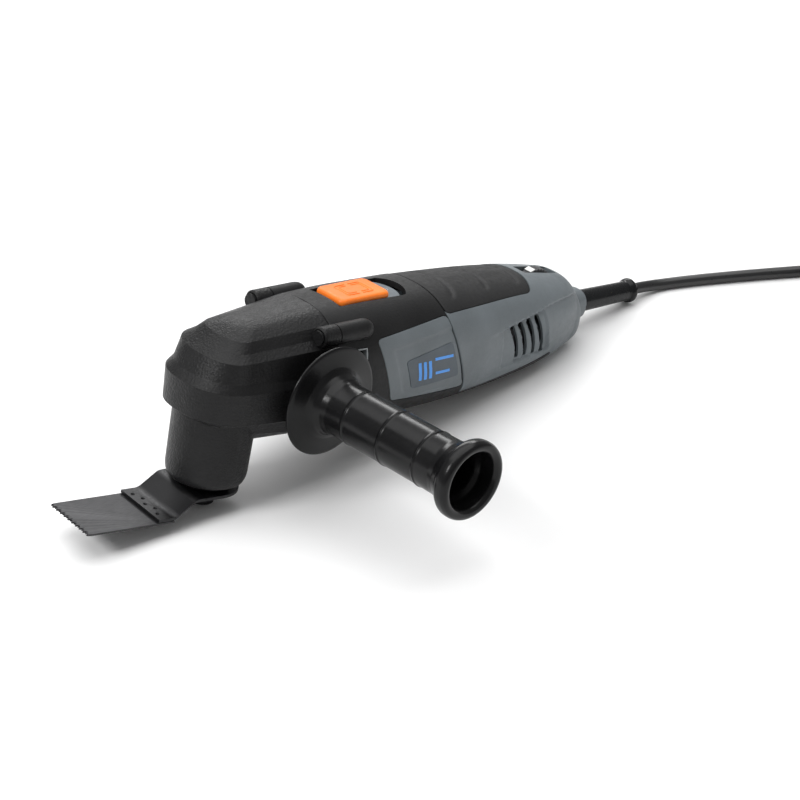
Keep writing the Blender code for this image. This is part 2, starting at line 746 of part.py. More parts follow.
# ---------------------------------------------------------------- motor
def armature_group(mats, tool):
    motor = axis_empty("armature_axis", (0, 0, 0), tool)
    shaft = [(3.4, 33.0), (3.9, 33.5), (3.9, 155.6), (3.5, 156.0)]
    add("armature_shaft", turned(shaft, "X", 20), mats["steel"], motor)
    core = tube(15.4, 4.2, 70.0, 108.0, "X", ROUND)
    core = add("armature_core", core, mats["lamination"], motor)
    slots = []
    for k in range(12):
        bar = block((66.0, -1.0, 13.2), (112.0, 1.0, 18.0))
        turn = Matrix.Rotation(math.radians(30 * k), 4, "X")
        bmesh.ops.transform(bar, matrix=turn, verts=bar.verts)
        slots.append(bar)
    shape(core, "winding_slots", merged(*slots), mats["lamination"])
    for name, low, high in (("armature_winding_front", 62.5, 69.6),
                            ("armature_winding_rear", 108.4, 117.0)):
        add(name, tube(13.6, 4.2, low, high, "X", lip=2.2), mats["copper"], motor)
    add("commutator", tube(10.6, 4.2, 121.0, 137.0, "X"), mats["copper"], motor)
    add("front_bearing", tube(10.8, 4.2, 48.9, 54.9, "X"), mats["bearing"], motor)
    add("rear_bearing", tube(9.0, 4.2, 142.0, 149.0, "X"), mats["bearing"], motor)
    cooling_fan(mats, motor)
    eccentric_drive(mats, motor)
    return motor


def cooling_fan(mats, motor):
    profile = [(4.2, 55.4), (9.0, 55.4), (9.0, 58.0), (21.5, 59.2), (21.5, 60.2), (4.2, 60.2)]
    fan = add("cooling_fan", turned(profile, "X", closed=True), mats["dark_plastic"], motor)
    for k in range(9):
        blade = block((56.6, -0.6, 9.5), (60.0, 0.6, 21.0))
        turn = Matrix.Rotation(math.radians(40 * k + 4), 4, "X")
        bmesh.ops.transform(blade, matrix=turn, verts=blade.verts)
        shape(fan, f"fan_blade_{k}", blade, mats["dark_plastic"], "UNION")


def eccentric_drive(mats, motor):
    """Offset pin that the motor turns, and the bearing that rocks the fork."""
    steps = 24
    throw = (0.0, ECCENTRIC_THROW)
    sleeve = [(4.6, 20.5), (5.0, 20.9), (5.0, 30.4), (7.6, 30.4), (7.6, 32.6), (4.6, 32.6)]
    add("eccentric_pin", turned(sleeve, "X", steps, throw), mats["steel"], motor)
    add("eccentric_bearing", tube(8.1, 5.3, 21.5, 29.9, "X", steps, throw), mats["bearing"], motor)


def motor_fixed_parts(mats, tool):
    plate = tube(22.6, 11.1, 48.4, 53.6, "X", FINE_ROUND)
    add("bearing_plate", plate, mats["aluminium"], tool)
    core = tube(23.8, 16.0, 70.0, 108.0, "X", FINE_ROUND)
    add("stator_core", core, mats["lamination"], tool)
    for name, low, high in (("field_winding_front", 61.8, 69.6), ("field_winding_rear", 108.4, 116.5)):
        add(name, tube(22.6, 16.4, low, high, "X", lip=1.6), mats["copper"], tool)
    add("rear_bearing_holder", tube(12.5, 9.3, 140.5, 149.5, "X"), mats["dark_plastic"], tool)
    for side, name in ((1, "left"), (-1, "right")):
        brush = block((126.0, -20.5, -2.6), (132.0, -11.0, 2.6), 0.3)
        add(f"carbon_brush_{name}", mirrored(brush, side), mats["carbon"], tool)
        holder = block((123.6, -26.5, -5.0), (134.4, -13.0, 5.0), 0.4)
        holder = add(f"brush_holder_{name}", mirrored(holder, side), mats["brass"], tool)
        hole = block((125.6, -23.0, -3.0), (132.4, -10.0, 3.0))
        shape(holder, f"brush_slot_{name}", mirrored(hole, side), mats["brass"])


# ---------------------------------------------------------------- side handle
def handle_parts(mats, tool):
    stud_axis = axis_empty("handle_stud_axis", (HANDLE_X, 0, 0), tool)
    stud = [(3.4, -19.0), (3.9, -19.6), (3.9, -50.0), (5.4, -50.0), (5.4, -56.0), (4.9, -56.4)]
    add("handle_stud", turned(stud, "Y", 20), mats["steel"], stud_axis)
    grip_axis = axis_empty("handle_grip_axis", (0, 0, 0), stud_axis)
    y0 = HANDLE_Y
    profile = [
        (4.3, y0 + 2.3), (11.5, y0 + 2.3), (13.5, y0 - 0.6), (26.8, y0 + 0.2), (27.8, y0 - 0.3),
        (27.6, y0 - 1.4), (26.6, y0 - 1.9), (18.5, y0 - 3.4), (15.2, y0 - 5.6), (13.6, y0 - 9.5),
        (13.4, y0 - 15.0),
    ]
    for k in range(3):
        ridge = y0 - 23.0 - 24.0 * k
        profile += [(13.9, ridge + 0.7), (14.3, ridge), (13.9, ridge - 0.7)]
    end = y0 - HANDLE_LENGTH
    profile += [
        (14.1, end + 17.0), (15.4, end + 12.0), (18.8, end + 8.4), (19.8, end + 6.4),
        (19.8, end + 2.2), (18.8, end + 0.6), (16.8, end), (14.8, end + 1.0), (14.2, end + 3.0),
        (13.4, end + 9.0), (11.2, end + 14.0), (10.9, y0 - 26.0), (5.8, y0 - 23.0),
        (5.8, y0 - 15.0), (4.3, y0 - 15.0),
    ]
    grip = turned(profile, "Y", 24, closed=True)
    add("handle_grip", grip, mats["handle"], grip_axis)
    return stud_axis, grip_axis


# ---------------------------------------------------------------- cord
def strain_relief(mats, tool):
    """Smooth tapered rubber sleeve with a lip, held behind the rear wall."""
    profile = [(3.6, 236.5), (7.6, 236.5), (7.6, 238.0), (5.5, 238.5), (5.5, 254.0), (5.9, 255.0)]
    profile += [(5.6, 272.0), (5.3, RELIEF_END - 5.2), (5.6, RELIEF_END - 4.0)]
    profile += [(6.4, RELIEF_END - 3.1), (6.6, RELIEF_END - 2.0), (6.4, RELIEF_END - 0.8)]
    profile += [(5.7, RELIEF_END), (3.6, RELIEF_END)]
    sleeve = turned(profile, "X", 16, (0, RELIEF_Z), closed=True)
    add("strain_relief", sleeve, mats["rubber"], tool)


def tool_to_world():
    """Pitch the tool about Y until screw and belly both touch, and lift it to zero."""
    slopes = []
    for x in range(150, 245):
        slopes.append((body_section(x)[2] - SCREW_BOTTOM) / (x - SCREW_EDGE))
    turn = Matrix.Rotation(math.atan(min(slopes)), 4, "Y")
    lowest = (turn @ Vector((SCREW_EDGE, 0, SCREW_BOTTOM))).z
    return Matrix.Translation(Vector((*FOOTPRINT_SHIFT, -lowest)) * MM) @ turn


# The free cord between the strain relief and the coil, then between coil and plug
LEAD_ROUTE = ((299.0, -0.1, 5.2), (306.5, -1.1, 4.0), (314.0, -3.5, 3.3), (323.0, -7.6, 3.1),
              (338.0, -15.8, 3.1), (357.0, -27.0, 3.1), (380.0, -41.3, 3.1))
TAIL_ROUTE = ((419.6, -59.3, 8.9), (429.0, -59.4, 8.0), (440.0, -59.5, 7.0))


def spline_through(points, spacing):
    """Points at a steady spacing on a smooth curve through the given ones."""
    path = [Vector(p) for p in points]
    path = [path[0] * 2 - path[1]] + path + [path[-1] * 2 - path[-2]]
    result = []
    for a, b, c, d in zip(path, path[1:], path[2:], path[3:]):
        steps = max(1, round((c - b).length / spacing))
        for k in range(steps):
            t = k / steps
            bend = 2 * a - 5 * b + 4 * c - d
            twist = 3 * b - a - 3 * c + d
            result.append(0.5 * (2 * b + (c - a) * t + bend * t * t + twist * t ** 3))
    return result + [path[-2]]


def on_floor(point):
    """A place counted from under the spindle, moved to the footprint's frame."""
    return Vector((point[0] + FOOTPRINT_SHIFT[0], point[1] + FOOTPRINT_SHIFT[1], point[2]))


def cord_tube(name, points, mat):
    curve = bpy.data.curves.new(name, "CURVE")
    curve.dimensions = "3D"
    curve.bevel_depth = CORD_RADIUS * MM
    curve.bevel_resolution = 2
    curve.use_fill_caps = True
    spline = curve.splines.new("POLY")
    spline.points.add(len(points) - 1)
    for target, point in zip(spline.points, points):
        target.co = (*(point * MM), 1.0)
    curve.materials.append(mat)
    obj = bpy.data.objects.new(name, curve)
    bpy.context.scene.collection.objects.link(obj)


def coil_entry(angle_deg, back, height):
    """Point on the outer turn's tangent, a little way before it reaches the coil."""
    angle = math.radians(angle_deg)
    radius = COIL_MID_RADIUS + COIL_HALF_WIDTH - CORD_RADIUS
    x = COIL_CENTRE[0] + radius * math.cos(angle) - back * math.sin(angle)
    y = COIL_CENTRE[1] + radius * math.sin(angle) + back * math.cos(angle)
    return (x, y, height)


def cord_parts(mats, placing):
    exit_point = placing @ (Vector((RELIEF_END + GAP, 0, RELIEF_Z)) * MM) / MM
    route = [exit_point] + [on_floor(p) for p in LEAD_ROUTE]
    route.append(on_floor(coil_entry(COIL_ENTRY_DEG, 23.6, CORD_RADIUS + 0.1)))
    cord_tube("cord", spline_through(route, 6.0), mats["cord"])
    coil = coil_solid()
    add("cord_coil", coil, mats["cord"], None)
    tail = [on_floor(p) for p in TAIL_ROUTE]
    tail.append(on_floor((PLUG_NECK[0] - 2 * GAP, PLUG_NECK[1], PLUG_AXIS_Z)))
    cord_tube("cord_tail", spline_through(tail, 6.0), mats["cord"])
    tie_and_plug(mats)


def coil_solid():
    inner, outer = COIL_MID_RADIUS - COIL_HALF_WIDTH, COIL_MID_RADIUS + COIL_HALF_WIDTH
    centre = on_floor((*COIL_CENTRE, 0.0))
    profile = [(inner, 1.5), (inner + 1.5, 0.1), (outer - 1.5, 0.1), (outer, 1.5)]
    profile += [(outer, COIL_HEIGHT - 1.5), (outer - 1.5, COIL_HEIGHT)]
    profile += [(inner + 1.5, COIL_HEIGHT), (inner, COIL_HEIGHT - 1.5)]
    return turned(profile, "Z", 24, (centre.x, centre.y), closed=True)


def tie_and_plug(mats):
    """Band round the coil, and a flat two-pin plug lying beside it."""
    half_band = 4.0
    inner = COIL_MID_RADIUS - COIL_HALF_WIDTH - 0.5
    outer = COIL_MID_RADIUS + COIL_HALF_WIDTH
    rings = []
    for y in (-half_band, half_band):
        for edge in (0, 1):
            grow = GAP if edge == 0 else GAP + 1.2
            low, high = (inner - grow, outer + grow)
            top = COIL_HEIGHT + grow
            rings.append([(low, y, 0.02 if edge else 0.05), (high, y, 0.02 if edge else 0.05),
                          (high, y, top), (low, y, top)])
    centre = on_floor((*COIL_CENTRE, 0.0))
    band = tie_band(rings, centre)
    add("cord_tie", band, mats["tie"], None)
    plug = []
    for x, wide, tall in ((0.0, 4.2, 4.2), (4.0, 5.0, 4.8), (9.0, 8.5, 6.0), (18.0, 15.5, 6.7),
                          (26.0, 17.6, 6.8), (PLUG_LENGTH, 17.6, 6.8)):
        ring = rounded_rectangle(wide, tall, min(wide, tall) * 0.8)
        plug.append([(PLUG_NECK[0] + x, PLUG_NECK[1] + y, PLUG_AXIS_Z + z) for y, z in ring])
    plug = [[on_floor(p) for p in ring] for ring in plug]
    add("plug", skin(plug), mats["plug"], None)
    for side, name in ((1, "left"), (-1, "right")):
        face_x = PLUG_NECK[0] + PLUG_LENGTH + GAP
        face = on_floor((face_x, PLUG_NECK[1] + 9.3 * side, PLUG_AXIS_Z))
        profile = [(2.0, face.x), (2.0, face.x + 18.0), (1.2, face.x + 19.0)]
        pin = turned(profile, "X", 12, (face.y, face.z))
        add(f"plug_pin_{name}", pin, mats["brass"], None)


def tie_band(rings, centre):
    """Bridge-shaped strap over the coil's top and sides, ending at the floor."""
    inner_front, outer_front, inner_back, outer_back = rings
    shape_points = []
    for inner_ring, outer_ring in ((inner_front, outer_front), (inner_back, outer_back)):
        path = [outer_ring[0], outer_ring[3], outer_ring[2], outer_ring[1]]
        path += [inner_ring[1], inner_ring[2], inner_ring[3], inner_ring[0]]
        shape_points.append([(p[0] + centre.x, p[1] + centre.y, p[2] + 0.1) for p in path])
    return skin(shape_points)


# ---------------------------------------------------------------- assembly
PALETTE = {
    "head": ((0.014, 0.014, 0.015), 0.48, 0.0),
    "body": ((0.016, 0.016, 0.017), 0.55, 0.0),
    "grip": ((0.018, 0.018, 0.019), 0.7, 0.0),
    "gray": ((0.155, 0.175, 0.185), 0.5, 0.0),
    "slate": ((0.10, 0.115, 0.13), 0.5, 0.0),
    "badge": ((0.085, 0.10, 0.115), 0.5, 0.0),
    "trim": ((0.30, 0.31, 0.32), 0.45, 0.0),
    "orange": ((1.0, 0.155, 0.02), 0.42, 0.0),
    "handle": ((0.010, 0.010, 0.011), 0.3, 0.0),
    "rubber": ((0.010, 0.011, 0.012), 0.5, 0.0),
    "cord": ((0.016, 0.016, 0.017), 0.45, 0.0),
    "tie": ((0.02, 0.02, 0.021), 0.5, 0.0),
    "plug": ((0.014, 0.014, 0.015), 0.4, 0.0),
    "dark_plastic": ((0.02, 0.02, 0.022), 0.45, 0.0),
    "blade": ((0.055, 0.055, 0.057), 0.42, 0.6),
    "dark_steel": ((0.02, 0.02, 0.021), 0.4, 0.6),
    "steel": ((0.5, 0.5, 0.5), 0.3, 1.0),
    "bearing": ((0.6, 0.6, 0.61), 0.22, 1.0),
    "lamination": ((0.18, 0.18, 0.19), 0.5, 0.8),
    "copper": ((0.72, 0.32, 0.16), 0.35, 1.0),
    "aluminium": ((0.55, 0.56, 0.57), 0.4, 1.0),
    "brass": ((0.75, 0.58, 0.30), 0.3, 1.0),
    "carbon": ((0.03, 0.03, 0.03), 0.8, 0.0),
}


def build():
    clear_scene()
    mats = {name: material(name, *values) for name, values in PALETTE.items()}
    tool = axis_empty("tool_frame", (0, 0, 0))
    placing = tool_to_world()
    tool.matrix_world = placing
    gear_housing(mats, tool)
    ear_screws(mats, tool)
    spindle_group(mats, tool)
    spindle_bearings(mats, tool)
    motor_housing(mats, tool)
    window_frames(mats, tool)
    side_panels(mats, tool)
    rear_housing(mats, tool)
    rear_skins(mats, tool)
    switch_parts(mats, tool)
    speed_dial(mats, tool)
    armature_group(mats, tool)
    motor_fixed_parts(mats, tool)
    handle_parts(mats, tool)
    strain_relief(mats, tool)
    cord_parts(mats, placing)


build()
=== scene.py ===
"""Finished looks of the corded oscillating multi tool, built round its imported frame.

Shapes are drawn in the tool's own frame in millimetres (origin where the motor shaft
meets the spindle, +X to the cord, +Y to the operator's right, +Z up the spindle) and
set down with the frame's joints. The cord, coil and plug lie in world space.
"""
import json
import math

import bmesh
import bpy
from mathutils import Matrix, Vector


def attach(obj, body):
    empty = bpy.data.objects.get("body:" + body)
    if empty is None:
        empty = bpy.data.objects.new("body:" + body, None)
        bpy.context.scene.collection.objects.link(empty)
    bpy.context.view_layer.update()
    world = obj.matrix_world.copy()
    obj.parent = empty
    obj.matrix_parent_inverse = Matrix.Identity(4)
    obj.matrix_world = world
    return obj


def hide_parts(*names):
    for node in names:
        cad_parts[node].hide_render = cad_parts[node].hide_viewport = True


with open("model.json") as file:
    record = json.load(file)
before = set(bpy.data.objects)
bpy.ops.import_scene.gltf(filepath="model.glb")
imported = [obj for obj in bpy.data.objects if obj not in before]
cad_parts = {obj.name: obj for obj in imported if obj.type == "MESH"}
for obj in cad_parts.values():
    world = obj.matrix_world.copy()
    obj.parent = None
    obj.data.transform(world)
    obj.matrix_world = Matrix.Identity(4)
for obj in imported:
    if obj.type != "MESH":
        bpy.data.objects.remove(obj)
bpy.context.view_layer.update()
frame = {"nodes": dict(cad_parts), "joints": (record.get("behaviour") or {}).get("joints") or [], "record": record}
JOINTS = {joint["name"]: joint for joint in frame["joints"]}
MM = 0.001


def tool_space():
    """Tool millimetres to world metres, from the spindle and motor joints."""
    place = Vector(JOINTS["spindle_oscillation"]["pos_m"])
    up = Vector(JOINTS["spindle_oscillation"]["axis"]).normalized()
    ahead = Vector(JOINTS["armature_spin"]["axis"]).normalized()
    turn = Matrix((ahead, up.cross(ahead), up)).transposed().to_4x4()
    return Matrix.Translation(place) @ turn @ Matrix.Scale(MM, 4)


TOOL = tool_space()
WORLD = Matrix.Scale(MM, 4)
SPINDLE_FOOT = Vector((-103.1, 49.7, 0.0))
SIDES = ((1, "left"), (-1, "right"))


def placed(name, data):
    obj = bpy.data.objects.new(name, data)
    bpy.context.scene.collection.objects.link(obj)
    return obj


FOCAL_LENGTH = 148.72
CAMERA_PLACE = Vector((-1022.4, -1014.5, 612.0))
CAMERA_RIGHT = Vector((0.7024, -0.6922, 0.1656))
CAMERA_BACK = Vector((-0.6922, -0.6097, 0.3863))


def camera():
    """The photograph's view. Its place and directions are given in tool space."""
    data = bpy.data.cameras.new("camera")
    data.lens = FOCAL_LENGTH
    data.clip_start = 0.05
    cam = placed("camera", data)
    cam.rotation_mode = "QUATERNION"
    rest = TOOL.to_3x3().normalized()
    right, back = rest @ CAMERA_RIGHT, rest @ CAMERA_BACK
    up = back.cross(right).normalized()
    right = up.cross(back).normalized()
    turn = Matrix((right, up, back.normalized())).transposed()
    cam.matrix_world = Matrix.Translation(TOOL @ CAMERA_PLACE) @ turn.to_4x4()
    bpy.context.scene.camera = cam


camera()


# ---- materials
def nodes_of(name):
    mat = bpy.data.materials.new(name)
    mat.use_nodes = True
    tree = mat.node_tree
    shader = tree.nodes["Principled BSDF"]
    place = tree.nodes.new("ShaderNodeTexCoord")
    return mat, tree, shader, place.outputs["Object"]


def noise(tree, place, scale, detail=3.0, stretch=None):
    if stretch:
        mapping = tree.nodes.new("ShaderNodeMapping")
        mapping.inputs["Scale"].default_value = stretch
        tree.links.new(place, mapping.inputs["Vector"])
        place = mapping.outputs["Vector"]
    node = tree.nodes.new("ShaderNodeTexNoise")
    node.inputs["Scale"].default_value = scale
    node.inputs["Detail"].default_value = detail
    tree.links.new(place, node.inputs["Vector"])
    return node.outputs["Fac"]


def ranged(tree, value, low=0.0, high=1.0, start=0.3, end=0.7):
    node = tree.nodes.new("ShaderNodeMapRange")
    tree.links.new(value, node.inputs["Value"])
    for key, number in (("From Min", start), ("From Max", end), ("To Min", low), ("To Max", high)):
        node.inputs[key].default_value = number
    return node.outputs["Result"]


def mixed(tree, share, first, second):
    node = tree.nodes.new("ShaderNodeMix")
    node.data_type = "RGBA"
    tree.links.new(share, node.inputs["Factor"])
    for socket, color in ((node.inputs["A"], first), (node.inputs["B"], second)):
        if isinstance(color, tuple):
            socket.default_value = (*color, 1.0)
        else:
            tree.links.new(color, socket)
    return node.outputs["Result"]


def edges(tree, start=0.53, end=0.62):
    """High on worn outer edges, from the mesh's own curvature."""
    geometry = tree.nodes.new("ShaderNodeNewGeometry")
    return ranged(tree, geometry.outputs["Pointiness"], 0.0, 1.0, start, end)


def bumped(tree, shader, heights):
    """Stack of bump nodes: (height, strength, distance in metres)."""
    normal = None
    for height, strength, distance in heights:
        node = tree.nodes.new("ShaderNodeBump")
        node.inputs["Strength"].default_value = strength
        node.inputs["Distance"].default_value = distance
        tree.links.new(height, node.inputs["Height"])
        if normal:
            tree.links.new(normal, node.inputs["Normal"])
        normal = node.outputs["Normal"]
    tree.links.new(normal, shader.inputs["Normal"])


def toned(color, factor, lift=0.0):
    return tuple(min(1.0, c * factor + lift) for c in color)


def moulded(name, color, rough, grain=0.35, size=1500.0, specular=0.5, wear=0.5, depth=0.00016,
            blotch=0.08):
    """Moulded plastic or rubber: spark-eroded grain, soft blotches, scuffed edges."""
    mat, tree, shader, place = nodes_of(name)
    broad = noise(tree, place, 38.0, 4.0)
    fine = noise(tree, place, size, 2.0)
    dust = noise(tree, place, 420.0, 6.0)
    light, worn = toned(color, 1.12, 0.004), toned(color, 1.35, 0.012 * wear)
    base = mixed(tree, ranged(tree, broad), toned(color, 0.86), light)
    base = mixed(tree, ranged(tree, fine, 0.0, 0.35, 0.45, 0.75), base, light)
    scuffs = tree.nodes.new("ShaderNodeMath")
    scuffs.operation = "MULTIPLY"
    tree.links.new(edges(tree), scuffs.inputs[0])
    tree.links.new(ranged(tree, dust, 0.15, wear, 0.4, 0.65), scuffs.inputs[1])
    tree.links.new(mixed(tree, scuffs.outputs[0], base, worn), shader.inputs["Base Color"])
    tree.links.new(ranged(tree, dust, rough - 0.75 * blotch, rough + blotch), shader.inputs["Roughness"])
    shader.inputs["Specular IOR Level"].default_value = specular
    bumped(tree, shader, ((fine, grain, depth), (broad, 0.06, 0.0004)))
    return mat


def metal(name, color, rough, metallic=1.0, stretch=(1.0, 1.0, 1.0), brush=0.15, scale=900.0):
    """Machined or coated metal: fine tool marks, tarnish blotches and bright edges."""
    mat, tree, shader, place = nodes_of(name)
    white_stripes = noise(tree, place, scale, 4.0, stretch)
    broad = noise(tree, place, 60.0, 5.0)
    base = mixed(tree, ranged(tree, broad), toned(color, 0.8), toned(color, 1.1, 0.005))
    scuffs = ranged(tree, edges(tree), 0.0, 0.4, 0.0, 1.0)
    tree.links.new(mixed(tree, scuffs, base, toned(color, 1.6, 0.05)), shader.inputs["Base Color"])
    tree.links.new(ranged(tree, white_stripes, rough - 0.07, rough + 0.1), shader.inputs["Roughness"])
    shader.inputs["Metallic"].default_value = metallic
    bumped(tree, shader, ((white_stripes, brush, 0.00005), (broad, 0.1, 0.0004)))
    return mat


def glossy_coat(name, color):
    """Glossy coat with slight thickness variation: pad-printed ink for the blue, plain white for the stripes on
    the dial.
    """
    mat, tree, shader, place = nodes_of(name)
    speck = noise(tree, place, 900.0, 4.0)
    coat_tone = mixed(tree, ranged(tree, speck), toned(color, 0.88), color)
    tree.links.new(coat_tone, shader.inputs["Base Color"])
    tree.links.new(ranged(tree, speck, 0.3, 0.42), shader.inputs["Roughness"])
    bumped(tree, shader, ((speck, 0.1, 0.00004),))
    return mat


MATS = {
    "head": moulded("head_black", (0.0078, 0.0078, 0.0082), 0.40, 0.8, 900.0, 0.22, depth=0.0004),
    "body": moulded("body_black", (0.0075, 0.0075, 0.0079), 0.46, 0.75, 1200.0, 0.22),
    "grip": moulded("grip_black", (0.0125, 0.0125, 0.0130), 0.60, 0.8, 1500.0, 0.3),
    "gray": moulded("case_gray", (0.140, 0.160, 0.172), 0.46, 0.28, 1600.0, 0.4),
    "slate": moulded("slate_gray", (0.105, 0.124, 0.140), 0.45, 0.25, 1600.0, 0.4),
    "badge": moulded("badge_gray", (0.078, 0.098, 0.115), 0.42, 0.12, 1900.0, 0.4),
    "trim": moulded("trim_gray", (0.30, 0.32, 0.33), 0.4, 0.15, 1900.0),
    "orange": moulded("switch_orange", (1.0, 0.20, 0.014), 0.42, 0.12, 1600.0, 0.35, 0.1),
    "handle": moulded("handle_black", (0.0030, 0.0030, 0.0034), 0.24, 0.08, 1500.0, 0.22, 0.2, blotch=0.02),
    "rubber": moulded("relief_rubber", (0.0030, 0.0036, 0.0042), 0.26, 0.12, 1100.0, 0.22, blotch=0.03),
    "cord": moulded("cord_black", (0.0110, 0.0110, 0.0115), 0.30, 0.15, 1000.0, 0.5, blotch=0.04),
    "tie": moulded("strap_black", (0.018, 0.018, 0.019), 0.55, 0.5, 1500.0, 0.3),
    "plug": moulded("plug_black", (0.0105, 0.0105, 0.0112), 0.38, 0.25, 1200.0, 0.4),
    "dark_plastic": moulded("inner_black", (0.018, 0.018, 0.02), 0.45, 0.3),
    "carbon": moulded("brush_carbon", (0.03, 0.03, 0.03), 0.75, 0.5, 1800.0),
    "blade": metal("blade_oxide", (0.034, 0.034, 0.036), 0.44, 0.85, (1.0, 14.0, 1.0), 0.22, 260.0),
    "dark_steel": metal("black_oxide", (0.011, 0.011, 0.012), 0.42, 0.9, brush=0.2),
    "steel": metal("bright_steel", (0.52, 0.52, 0.53), 0.30),
    "bearing": metal("bearing_steel", (0.62, 0.62, 0.63), 0.20),
    "lamination": metal("laminations", (0.20, 0.20, 0.21), 0.5, 0.85, (9.0, 1.0, 1.0), 0.5, 300.0),
    "copper": metal("copper_wire", (0.62, 0.24, 0.10), 0.34, 0.9, (9.0, 1.0, 1.0), 0.5, 300.0),
    "aluminium": metal("cast_aluminium", (0.55, 0.56, 0.57), 0.45, 1.0, brush=0.35),
    "brass": metal("plug_brass", (0.72, 0.55, 0.27), 0.28),
    "blue_ink": glossy_coat("blue_ink", (0.07, 0.35, 0.95)),
    "dial_white": glossy_coat("dial_white", (0.78, 0.78, 0.76)),
}


# ---- mesh helpers
def skin(rings, closed=False):
    """Solid through rings of equal size, capped at its ends or closed on itself."""
    bm = bmesh.new()
    rows = [[bm.verts.new(point) for point in points] for points in rings]
    pairs = list(zip(rows, rows[1:]))
    if closed:
        pairs.append((rows[-1], rows[0]))
    for low, high in pairs:
        for i in range(len(low)):
            j = (i + 1) % len(low)
            bm.faces.new((low[i], low[j], high[j], high[i]))
    if not closed:
        bm.faces.new(rows[0])
        bm.faces.new(rows[-1])
    bmesh.ops.recalc_face_normals(bm, faces=bm.faces)
    return bm


def clamp(value, low=0.0, high=1.0):
    return min(max(value, low), high)


def smooth_step(t):
    t = clamp(t)
    return t * t * (3 - 2 * t)


def curve_between(a, b, c, d, t):
    """Smooth curve from b to c, for numbers or vectors; a and d are its neighbours."""
    bend = 2 * a - 5 * b + 4 * c - d
    twist = 3 * b - a - 3 * c + d
    return 0.5 * (2 * b + (c - a) * t + bend * t * t + twist * t ** 3)


def on_circle(centre, radius, angle):
    return centre[0] + radius * math.cos(angle), centre[1] + radius * math.sin(angle)


def arc(centre, radius, start, end, steps):
    angles = [math.radians(start + (end - start) * k / steps) for k in range(steps + 1)]
    return [on_circle(centre, radius, angle) for angle in angles]


def turned(profile, axis="Z", steps=64, centre=(0, 0), closed=False):
    """Turned solid from (radius, height) pairs; closed makes a ring of them.

    The centre is (y, z) for the X axis, (z, x) for Y and (x, y) for Z.
    """
    rings = []
    for radius, height in profile:
        points = []
        for k in range(steps):
            u, v = on_circle(centre, radius, 2 * math.pi * k / steps)
            points.append({"X": (height, u, v), "Y": (v, height, u), "Z": (u, v, height)}[axis])
        rings.append(points)
    return skin(rings, closed)


def block(low, high):
    bm = bmesh.new()
    bmesh.ops.create_cube(bm, size=1.0)
    size = [b - a for a, b in zip(low, high)]
    middle = [(a + b) / 2 for a, b in zip(low, high)]
    bmesh.ops.scale(bm, verts=bm.verts, vec=size)
    bmesh.ops.translate(bm, verts=bm.verts, vec=middle)
    return bm


def prism(outline, low, high):
    return skin([[(x, y, low) for x, y in outline], [(x, y, high) for x, y in outline]])


def mirrored(bm, side):
    """As drawn for the left side, or its mirror image for the right."""
    bmesh.ops.scale(bm, verts=bm.verts, vec=(1, side, 1))
    bmesh.ops.recalc_face_normals(bm, faces=bm.faces)
    return bm


def merged(*pieces):
    whole = bmesh.new()
    for bm in pieces:
        mesh = bpy.data.meshes.new("piece")
        bm.to_mesh(mesh)
        bm.free()
        whole.from_mesh(mesh)
        bpy.data.meshes.remove(mesh)
    return whole


def wire(points, radius, steps=10, closed=False):
    """Round bar along a path of points."""
    path = [Vector(p) for p in points]
    rings = []
    count = len(path)
    for i, point in enumerate(path):
        after = path[(i + 1) % count] if closed or i < count - 1 else point
        before = path[i - 1] if closed or i else point
        along = (after - before).normalized()
        side = along.cross(Vector((0, 0, 1)))
        if side.length < 0.1:
            side = along.cross(Vector((0, 1, 0)))
        side.normalize()
        up = side.cross(along)
        turns = [2 * math.pi * k / steps for k in range(steps)]
        rings.append([point + side * radius * math.cos(a) + up * radius * math.sin(a) for a in turns])
    return skin(rings, closed)


def rounded_rectangle(half_x, half_y, radius, steps=8, centre=(0, 0)):
    points = []
    for sx, sy, start in ((1, 1, 0), (-1, 1, 90), (-1, -1, 180), (1, -1, 270)):
        corner = (centre[0] + sx * (half_x - radius), centre[1] + sy * (half_y - radius))
        points += arc(corner, radius, start, start + 90, steps)
    return points


def rounded(profile, radius, steps=4, closed=True):
    """The profile with each corner replaced by a small curve."""
    result = []
    count = len(profile)
    for i, point in enumerate(profile):
        if not closed and i in (0, count - 1):
            result.append(point)
            continue
        here = Vector(point)
        before, after = Vector(profile[i - 1]) - here, Vector(profile[(i + 1) % count]) - here
        reach = min(radius, before.length * 0.45, after.length * 0.45)
        if reach < 0.02 or before.angle(after) > math.radians(172):
            result.append(point)
            continue
        first, last = here + before.normalized() * reach, here + after.normalized() * reach
        for k in range(steps + 1):
            t = k / steps
            blend = first * (1 - t) ** 2 + here * 2 * t * (1 - t) + last * t * t
            result.append(tuple(blend))
    return result


# ---- pieces
def evaluated(obj):
    """Bake the modifiers of a working object into its mesh."""
    graph = bpy.context.evaluated_depsgraph_get()
    mesh = bpy.data.meshes.new_from_object(obj.evaluated_get(graph))
    obj.modifiers.clear()
    obj.data = mesh
    return obj


def working(name, bm):
    mesh = bpy.data.meshes.new(name)
    bm.to_mesh(mesh)
    bm.free()
    return placed(name, mesh)


def bevelled(obj, width, degrees=28.0, segments=3):
    bevel = obj.modifiers.new("bevel", "BEVEL")
    bevel.width = width
    bevel.segments = segments
    bevel.limit_method = "ANGLE"
    bevel.angle_limit = math.radians(degrees)
    return evaluated(obj)


def cut(obj, bm, operation="DIFFERENCE"):
    helper = working("helper", bm)
    boolean = obj.modifiers.new("boolean", "BOOLEAN")
    boolean.operation = operation
    boolean.object = helper
    evaluated(obj)
    bpy.data.objects.remove(helper)
    return obj


